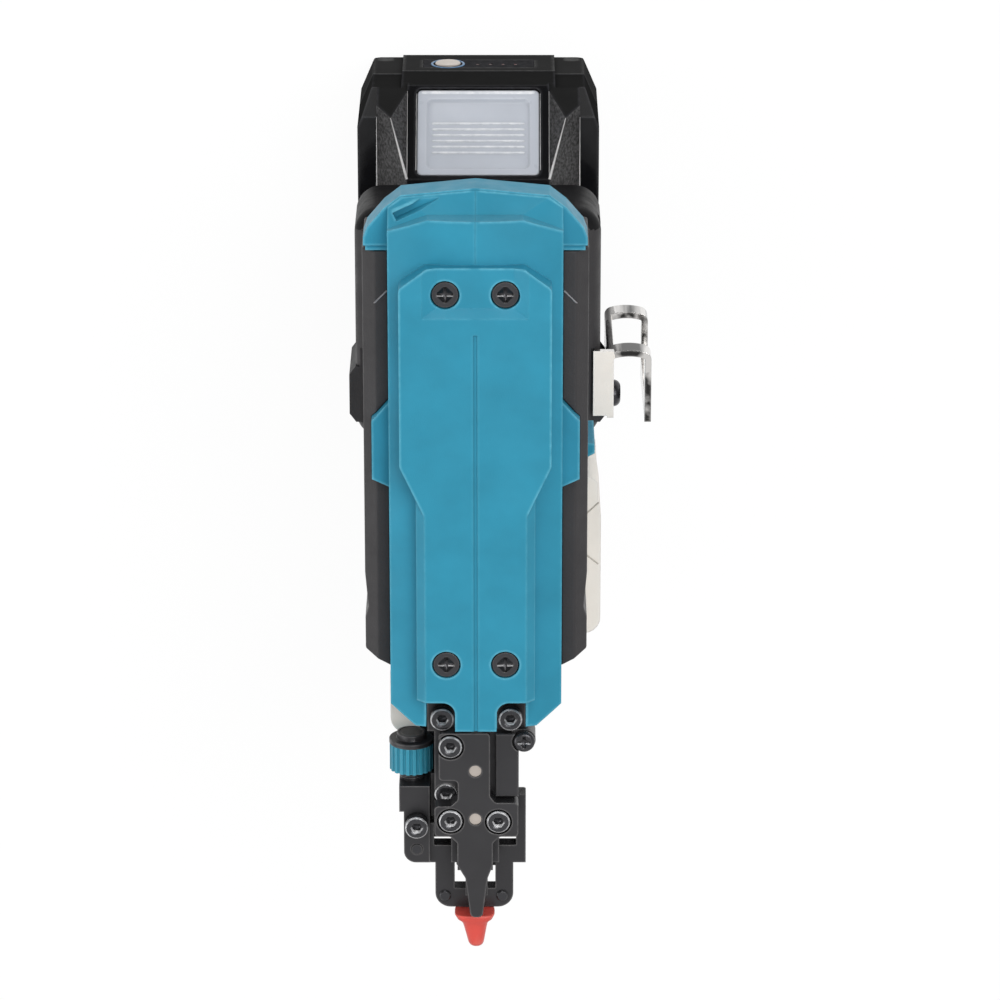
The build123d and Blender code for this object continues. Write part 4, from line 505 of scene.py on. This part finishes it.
# Outlines and levels in millimetres
STRIPS = {
    "arm_shelf": (((-16.5, -112.0), (-16.5, -122.0), (-14.5, -124.0), (-12.4, -124.0), (-12.4, -112.0)),
                  198.0, 199.5),
    "notch_strip": (((12.0, -79.0), (12.0, -89.0), (13.0, -90.0), (14.6, -90.0), (14.6, -79.0)),
                    214.2, 215.3),
}
for name, (outline, low, high) in STRIPS.items():
    put(name, slab(outline, low, high), "black_steel", "nose_base")

SHAFT_RADIUS = 3.2 * MM
THREAD_DEPTH = 0.25 * MM
THREAD_ROOT = 0.1 * MM
THREAD_TURNS = 4
ARM_BLOCK_REAR = -106.0 * MM
wheel_low, wheel_high = (Vector(corner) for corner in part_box("depth_wheel"))
shaft_middle = (wheel_low + wheel_high) / 2
thread_start = (shaft_middle.x, ARM_BLOCK_REAR + THREAD_DEPTH, shaft_middle.z)
thread_length = wheel_low.y - ARM_BLOCK_REAR - 2 * THREAD_DEPTH
thread_profile = [(-THREAD_ROOT, -THREAD_DEPTH), (THREAD_DEPTH, 0.0), (-THREAD_ROOT, THREAD_DEPTH)]
thread = wound(thread_start, (0, 1, 0), thread_length, SHAFT_RADIUS, THREAD_TURNS, thread_profile)
put("shaft_thread", thread, "black_steel", "contact_arm")


# Charge lamps and the ring round the check button

def lenses(places, radius, height, around=20, rings=4):
    """Mesh of low round lenses that look to the rear."""
    points, faces = [], []
    for x, y, z in places:
        first = len(points)
        for ring in range(rings):
            lift = math.pi / 2 * ring / rings
            reach = radius * math.cos(lift)
            for step in range(around):
                turn = 2 * math.pi * step / around
                points.append((x + reach * math.cos(turn), y + height * math.sin(lift), z + reach * math.sin(turn)))
        points.append((x, y + height, z))
        faces += bands(first, rings, around)
        last, tip = first + (rings - 1) * around, len(points) - 1
        faces += [(last + step, tip, last + (step + 1) % around) for step in range(around)]
        faces.append(tuple(range(first, first + around)))
    return mesh_of("lenses", points, faces, NO_CREASE)


LAMP_DEPTH = 0.4 * MM
LAMPS_X_MM = (-0.3, 3.7, 7.7, 11.7)
gauge_low, gauge_high = (Vector(corner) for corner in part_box("charge_gauge"))
lamp_places = [(x * MM, gauge_high.y - LAMP_DEPTH, (gauge_low.z + gauge_high.z) / 2) for x in LAMPS_X_MM]
put("gauge_lamps", lenses(lamp_places, radius=0.85 * MM, height=0.3 * MM), "lamp_lens", "charge_gauge")

RING_GAP = 1.0 * MM
RING_WIDTH = 0.45 * MM
RING_TOP_SHARE = 0.6
RING_FOOT, RING_RISE = 0.05 * MM, 0.15 * MM
RING_STEPS = 48
check_low, check_high = (Vector(corner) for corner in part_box("check_button"))
check_middle = (check_low + check_high) / 2
check_radius = (check_high.x - check_low.x) / 2
ring_start = (check_middle.x, gauge_high.y, check_middle.z)
ring_profile = [(-RING_WIDTH, -RING_FOOT), (RING_WIDTH, -RING_FOOT), (RING_TOP_SHARE * RING_WIDTH, RING_RISE),
                (-RING_TOP_SHARE * RING_WIDTH, RING_RISE)]
ring = wound(ring_start, (0, 1, 0), 0.0, check_radius + RING_GAP, 1, ring_profile, RING_STEPS)
put("check_ring", ring, "ring_blue", "charge_gauge")


# Creases, seams and painted edge highlights

def ridge(path, widths, height):
    """Mesh of a slim raised line along a path, with a width for each point."""
    points = []
    for index, place in enumerate(path):
        before = Vector(path[max(index - 1, 0)])
        after = Vector(path[min(index + 1, len(path) - 1)])
        side = (after - before).cross(Vector((0, 0, 1))).normalized() * widths[index] / 2
        middle = Vector(place)
        points += [middle - side, middle + Vector((0, 0, height)), middle + side, middle - Vector((0, 0, height))]
    faces = bands(0, len(path), 4, turned=True)
    faces += [(3, 2, 1, 0), tuple(range(len(points) - 4, len(points)))]
    return mesh_of("ridge", points, faces)


# Crease of a side cover: outward, rearward and down from its top, in millimetres
CREASE = ((24.4, 46.2, 0.0), (27.6, 42.9, 0.0), (29.1, 41.3, 1.5))
CREASE_WIDTH, CREASE_HEIGHT = 0.5 * MM, 0.15 * MM
# each crease is a light grey ridge: a painted highlight
for side, cover in ((-1, "left_side_cover"), (1, "right_side_cover")):
    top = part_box(cover)[1][2]
    path = [(side * x * MM, y * MM, top - drop * MM) for x, y, drop in CREASE]
    put(cover + "_crease", ridge(path, [CREASE_WIDTH] * len(path), CREASE_HEIGHT), "crease_highlight_plastic", cover)

# Top of the gear case and ends of its seams, in millimetres
GEAR_TOP = 166.0
GEAR_SEAMS = (((31.5, -40.5), (35.6, -36.5)), ((31.5, -52.4), (35.6, -55.8)))
GEAR_SEAM_WIDTH, GEAR_SEAM_HEIGHT = 0.45 * MM, 0.1 * MM
for number, ends in enumerate(GEAR_SEAMS):
    path = [Vector((x, y, GEAR_TOP)) * MM for x, y in ends]
    seam = ridge(path, [GEAR_SEAM_WIDTH] * len(path), GEAR_SEAM_HEIGHT)
    put(f"gear_seam_{number}", seam, "cast_seam", "gear_case")

# Corners of the pack's ramp, pocket and cheeks, in millimetres
RAMP_HEAD = (22.0, 31.5, 62.0)
RAMP_FOOT = (22.0, 53.78, 40.48)
POCKET_HEAD = (19.2, 33.8, 59.78)
POCKET_FOOT = (19.2, 53.15, 41.09)
CREST_REAR = (27.01, 49.0, 54.61)
FLANK_FRONT = (31.5, 20.0, 48.0)
FLANK_REAR = (31.5, 47.5, 48.0)
# Painted highlights along the edges between them, with their widths at both ends
SHINES = (
    ("crest", RAMP_HEAD, CREST_REAR, 0.9, 0.2),
    ("ramp_edge", RAMP_HEAD, RAMP_FOOT, 0.35, 0.15),
    ("pocket_edge", POCKET_HEAD, POCKET_FOOT, 0.3, 0.15),
    ("flank_edge", FLANK_FRONT, FLANK_REAR, 0.7, 0.2),
)
SHINE_HEIGHT = 0.12 * MM
for side, hand in ((-1, "left"), (1, "right")):
    for line, head, foot, head_width, foot_width in SHINES:
        path = [Vector((side * x, y, z)) * MM for x, y, z in (head, foot)]
        put(f"{hand}_{line}", ridge(path, [head_width * MM, foot_width * MM], SHINE_HEIGHT), "edge_shine",
            "battery_upper_case")


# Ribs of the grips

GRIP_MIDDLE_Y = 20.0 * MM
RAY_MM = 80
FACING, FRONT_LIMIT = 0.45, -0.7  # how squarely a face must meet its ray, and how far it may turn to the front
RIB_PITCH = 3.2 * MM
RIB_HALF = 0.9 * MM
RIB_MARGIN = 1.3 * RIB_HALF
RIB_STEP = 1.0 * MM  # largest step of the face across a rib
RIB_RAYS = 60
RIB_SHORTEST = 5
RIB_END_SHARE = 0.35
# Across, as a share of half the width, and rise in millimetres
RIB_PROFILE = ((-1.0, -0.12), (-0.6, 0.32), (0.0, 0.45), (0.6, 0.32), (1.0, -0.12))


def outer_hit(tree, outward, height):
    """Point and normal of a grip's outer face in a direction from the handle's middle, or None."""
    middle = Vector((0.0, GRIP_MIDDLE_Y, height))
    place, normal, _, _ = tree.ray_cast(middle + outward * RAY_MM * MM, -outward)
    return (place, normal) if place and normal.dot(outward) > FACING and normal.y > FRONT_LIMIT else None


def rib_runs(tree, side, height):
    """Stretches of the outer face that a rib at a height can follow."""
    run = []
    for step in range(RIB_RAYS):
        turn = math.radians(180 / RIB_RAYS * (step + 0.5))
        outward = Vector((side * math.sin(turn), math.cos(turn), 0.0))
        hits = [outer_hit(tree, outward, height + lift) for lift in (-RIB_MARGIN, 0.0, RIB_MARGIN)]
        clear = all(hits) and max((hit[0] - hits[1][0]).xy.length for hit in hits) < RIB_STEP
        if clear:
            run.append(hits[1])
        if run and (not clear or step == RIB_RAYS - 1):
            if len(run) >= RIB_SHORTEST:
                yield run
            run = []


def grip_ribs(node, side):
    """Mesh of the raised bands round the outside of a grip."""
    shape = nodes[node].data
    tree = BVHTree.FromPolygons([corner.co for corner in shape.vertices], [face.vertices for face in shape.polygons])
    low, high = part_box(node)
    points, faces = [], []
    size = len(RIB_PROFILE)
    for row in range(1, int((high[2] - low[2]) / RIB_PITCH)):
        for run in rib_runs(tree, side, low[2] + row * RIB_PITCH):
            first = len(points)
            for index, (place, normal) in enumerate(run):
                from_end = min(index, len(run) - 1 - index)
                share = min(1.0, RIB_END_SHARE + RIB_END_SHARE * from_end)
                points += [place + normal * (rise * share * MM) + Vector((0, 0, across * share * RIB_HALF))
                           for across, rise in RIB_PROFILE]
            faces += bands(first, len(run), size, turned=True)
            faces += [tuple(range(first, first + size)), tuple(range(len(points) - size, len(points)))]
    return mesh_of("grip_ribs", points, faces, SOFT_CREASE, turn_out=True)


for side, node in ((-1, "left_grip"), (1, "right_grip")):
    put(node + "_ribs", grip_ribs(node, side), slot_of[node], node)


# Push panel in the ramp, in millimetres

SLOPE = math.radians(44)
SLOPE_OUT = Vector((0, math.sin(SLOPE), math.cos(SLOPE)))
SLOPE_UP = Vector((0, -math.cos(SLOPE), math.sin(SLOPE)))
PANEL_HALF, PANEL_FOOT, PANEL_HEAD = 18.9, -31.6, -1.7
PANEL_TOP = -0.35
DISH_HALF, DISH_FOOT, DISH_HEAD = 16.3, PANEL_FOOT + 3.0, PANEL_HEAD - 1.9
DISH_FLOOR = PANEL_TOP - 1.3
# Inset, level and corner radius of each ring
PANEL_RIM = ((0.0, PANEL_TOP - 2.1, 1.5), (0.0, PANEL_TOP - 0.4, 1.5), (0.15, PANEL_TOP - 0.1, 1.5),
             (0.45, PANEL_TOP, 1.4))
PANEL_DISH = ((0.0, PANEL_TOP, 2.2), (0.25, PANEL_TOP - 0.12, 2.0), (0.7, PANEL_TOP - 1.1, 1.7),
              (1.1, DISH_FLOOR, 1.5))
RIDGE_FIRST, RIDGE_PITCH, RIDGE_COUNT = PANEL_FOOT + 11.2, 2.05, 6
LIP_PLACE = PANEL_FOOT + 0.95
BEAD_SIDES = 7
BEAD_SUNK = 0.05


def on_slope(across, along, out):
    """Point on the ramp from its head: across, up the slope and out of it, in millimetres."""
    return Vector((across, RAMP_HEAD[1], RAMP_HEAD[2])) * MM + (SLOPE_UP * along + SLOPE_OUT * out) * MM


def rounded_outline(half, foot, head, radius, out, per_corner=7):
    """Ring of points round a rectangle with rounded corners."""
    ring = []
    centres = ((half - radius, head - radius), (radius - half, head - radius),
               (radius - half, foot + radius), (half - radius, foot + radius))
    for quarter, (across, along) in enumerate(centres):
        for step in range(per_corner):
            turn = math.pi / 2 * (quarter + step / (per_corner - 1))
            ring.append(on_slope(across + radius * math.cos(turn), along + radius * math.sin(turn), out))
    return ring


def bead(along, base, half, width, height):
    """Points of a low round ridge across the slope with tapered ends, section by section."""
    points = []
    ends = ((-half, 0.3), (0.3 - half, 0.8), (0.8 - half, 1.0), (half - 0.8, 1.0), (half - 0.3, 0.8), (half, 0.3))
    for across, share in ends:
        for corner in range(BEAD_SIDES):
            turn = math.pi * corner / (BEAD_SIDES - 1)
            points.append(on_slope(across, along + share * width / 2 * math.cos(turn),
                                   base - BEAD_SUNK + share * height * math.sin(turn)))
    return points


def push_panel():
    """Mesh of the release panel: soft rim, dish with sloping walls, finger ridges and a lip at its foot."""
    rings = [rounded_outline(PANEL_HALF - inset, PANEL_FOOT + inset, PANEL_HEAD - inset, radius, out)
             for inset, out, radius in PANEL_RIM]
    rings += [rounded_outline(DISH_HALF - inset, DISH_FOOT + inset, DISH_HEAD - inset, radius, out)
              for inset, out, radius in PANEL_DISH]
    points = [place for ring in rings for place in ring]
    around = len(rings[0])
    faces = [tuple(range(around)), tuple(range(len(points) - 1, len(points) - around - 1, -1))]
    faces += bands(0, len(rings), around)
    beads = [bead(RIDGE_FIRST + RIDGE_PITCH * row, DISH_FLOOR, half=14.4, width=0.8, height=0.5)
             for row in range(RIDGE_COUNT)]
    beads.append(bead(LIP_PLACE, PANEL_TOP, half=17.6, width=1.1, height=0.3))
    for places in beads:
        first = len(points)
        points += places
        faces += bands(first, len(places) // BEAD_SIDES, BEAD_SIDES, turned=True)
        faces += [tuple(range(first + BEAD_SIDES - 1, first - 1, -1)),
                  tuple(range(len(points) - BEAD_SIDES, len(points)))]
    return mesh_of("push_panel", points, faces, SOFT_CREASE, turn_out=True)


put("push_panel", push_panel(), "pale_plastic", "release_button", ["release_button"])


# Soft nose cap

BORE = Vector((0.0, 0.0, 216.0)) * MM
BORE_RADIUS = 1.2 * MM
TIP_SHIFT = 0.75  # how far the tip goes from the collar's middle to the bore's
# Distance from the collar's rear, half width and half height in millimetres, and squareness
BELL_STATIONS = (
    (0.0, 5.7, 4.3, 4.0), (0.3, 5.8, 4.5, 4.0), (1.0, 5.5, 4.4, 3.6), (1.75, 5.1, 4.2, 3.4),
    (2.3, 4.3, 3.9, 3.2), (3.1, 3.7, 3.6, 3.0), (4.1, 3.4, 3.4, 2.8), (6.1, 2.95, 3.0, 2.6),
    (8.2, 2.5, 2.6, 2.4), (9.3, 2.25, 2.3, 2.2), (9.9, 1.95, 2.0, 2.1), (10.2, 1.65, 1.7, 2.0),
)


def oval(middle, half_width, half_height, squareness, around=40):
    """Points of a rounded outline that faces along the nose."""
    points = []
    for step in range(around):
        turn = 2 * math.pi * step / around
        share = (abs(math.cos(turn)) ** squareness + abs(math.sin(turn)) ** squareness) ** (-1 / squareness)
        points.append((middle[0] + half_width * share * math.cos(turn), middle[1],
                       middle[2] + half_height * share * math.sin(turn)))
    return points


def adapter_bell():
    """Mesh of the soft nose cap: wide collar, hollow flanks, blunt tip, and the bore of the pin through it."""
    low, high = (Vector(corner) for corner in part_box("nose_adapter"))
    collar = (low + high) / 2
    length = BELL_STATIONS[-1][0]
    rings = []
    for ahead, half_width, half_height, squareness in BELL_STATIONS:
        middle = collar.lerp(BORE, TIP_SHIFT * ahead / length)
        rings.append(oval((middle.x, high.y - ahead * MM, middle.z), half_width * MM, half_height * MM, squareness))
    for place in (high.y - length * MM, high.y):
        rings.append(oval((BORE.x, place, BORE.z), BORE_RADIUS, BORE_RADIUS, 2.0))
    points = [place for ring in rings for place in ring]
    faces = bands(0, len(rings), len(rings[0]), turned=True, closed=True)
    return mesh_of("adapter_bell", points, faces, SOFT_CREASE)


put("nose_adapter_bell", adapter_bell(), "red_rubber", "nose_adapter", ["nose_adapter"])


# Studio

MIDDLE = (0.0, -0.03, 0.15)
ROOM_LIGHT = 0.45
CEILING_BAND, CEILING_GREY = (0.6, 0.9), 0.5
WALL_BAND, WALL_PALE, WALL_DARK = (-0.2, 0.7), 0.8, 0.1
FLOOR_GLOW, FLOOR_GLOW_SHARE = 1.03, 0.9
FLOOR_REACH = 4.0
FLOOR_DROP = 0.2 * MM


def area_light(name, place, aim, size, power):
    """Soft box that points at a place."""
    lamp = bpy.data.lights.new(name, "AREA")
    lamp.shape = "RECTANGLE"
    lamp.size, lamp.size_y = size
    lamp.energy = power
    holder = bpy.data.objects.new(name, lamp)
    holder.location = place
    holder.rotation_euler = (Vector(aim) - Vector(place)).to_track_quat("-Z", "Y").to_euler()
    bpy.context.collection.objects.link(holder)


def seen_share(tree):
    """1 for rays that show the background: camera, mirror and clear rays."""
    path = add(tree, "ShaderNodeLightPath")
    total = path.outputs["Is Camera Ray"]
    for name in ("Is Glossy Ray", "Is Transmission Ray"):
        total = combine(tree, "MAXIMUM", total, path.outputs[name])
    return total


def studio_world():
    """White surround, with a grey ceiling and a dark wall behind the tool in its mirror image."""
    world = bpy.data.worlds.new("studio")
    bpy.context.scene.world = world
    world.use_nodes = True
    tree = world.node_tree
    background = tree.nodes["Background"]
    background.inputs["Color"].default_value = (1.0, 1.0, 1.0, 1.0)
    path = add(tree, "ShaderNodeLightPath")
    split = add(tree, "ShaderNodeSeparateXYZ")
    tree.links.new(add(tree, "ShaderNodeTexCoord").outputs["Generated"], split.inputs["Vector"])
    ceiling = remap(tree, split.outputs["Z"], *CEILING_BAND, 0.0, CEILING_GREY)
    walls = remap(tree, split.outputs["Y"], *WALL_BAND, WALL_PALE, WALL_DARK)
    mirrored = combine(tree, "MAXIMUM", ceiling, walls)
    plain = remap(tree, seen_share(tree), 0.0, 1.0, ROOM_LIGHT, 1.0)
    chosen = add(tree, "ShaderNodeMix", data_type="FLOAT")
    tree.links.new(path.outputs["Is Glossy Ray"], chosen.inputs["Factor"])
    tree.links.new(plain, chosen.inputs["A"])
    tree.links.new(mirrored, chosen.inputs["B"])
    tree.links.new(chosen.outputs["Result"], background.inputs["Strength"])


def floor_material():
    """White floor that keeps a faint shadow."""
    material = bpy.data.materials.new("floor_white")
    material.use_nodes = True
    tree = material.node_tree
    shader = tree.nodes["Principled BSDF"]
    shader.inputs["Base Color"].default_value = (0.9, 0.9, 0.9, 1.0)
    shader.inputs["Roughness"].default_value = 0.9
    glow = add(tree, "ShaderNodeEmission")
    glow.inputs["Strength"].default_value = FLOOR_GLOW
    mixed = add(tree, "ShaderNodeMixShader")
    tree.links.new(remap(tree, seen_share(tree), 0.0, 1.0, 0.0, FLOOR_GLOW_SHARE), mixed.inputs["Fac"])
    tree.links.new(shader.outputs["BSDF"], mixed.inputs[1])
    tree.links.new(glow.outputs["Emission"], mixed.inputs[2])
    tree.links.new(mixed.outputs["Shader"], tree.nodes["Material Output"].inputs["Surface"])
    return material


area_light("key_box", place=(0.40, 0.35, 1.35), aim=MIDDLE, size=(0.7, 0.7), power=7.6)
area_light("fill_box", place=(-1.0, -0.2, 0.75), aim=MIDDLE, size=(0.8, 0.8), power=3.5)
area_light("rear_box", place=(0.0, 0.95, 1.1), aim=MIDDLE, size=(0.6, 0.4), power=3.5)
studio_world()
floor_corners = [(x * FLOOR_REACH, y * FLOOR_REACH, 0.0) for x, y in ((-1, -1), (1, -1), (1, 1), (-1, 1))]
floor_mesh = mesh_of("floor", floor_corners, [(0, 1, 2, 3)])
floor_mesh.materials.append(floor_material())
floor = bpy.data.objects.new("floor", floor_mesh)
floor.location.z = -FLOOR_DROP
bpy.context.collection.objects.link(floor)

# Camera above and behind the tool, as in the photograph
LOOKED_AT = Vector((6.75, -41.6, 150.0)) * MM
DISTANCE = 1.4
TILT = math.radians(20)
FOCAL_WIDTHS = 4.731  # focal length in sensor widths
lens = bpy.data.cameras.new("camera")
lens.sensor_width = 36.0
lens.lens = FOCAL_WIDTHS * lens.sensor_width
camera = bpy.data.objects.new("camera", lens)
camera.rotation_euler = (-TILT, 0.0, 0.0)
camera.location = LOOKED_AT + Vector((0.0, math.sin(TILT), math.cos(TILT))) * DISTANCE
bpy.context.collection.objects.link(camera)
bpy.context.scene.camera = camera
bpy.context.scene.view_settings.view_transform = "Standard"
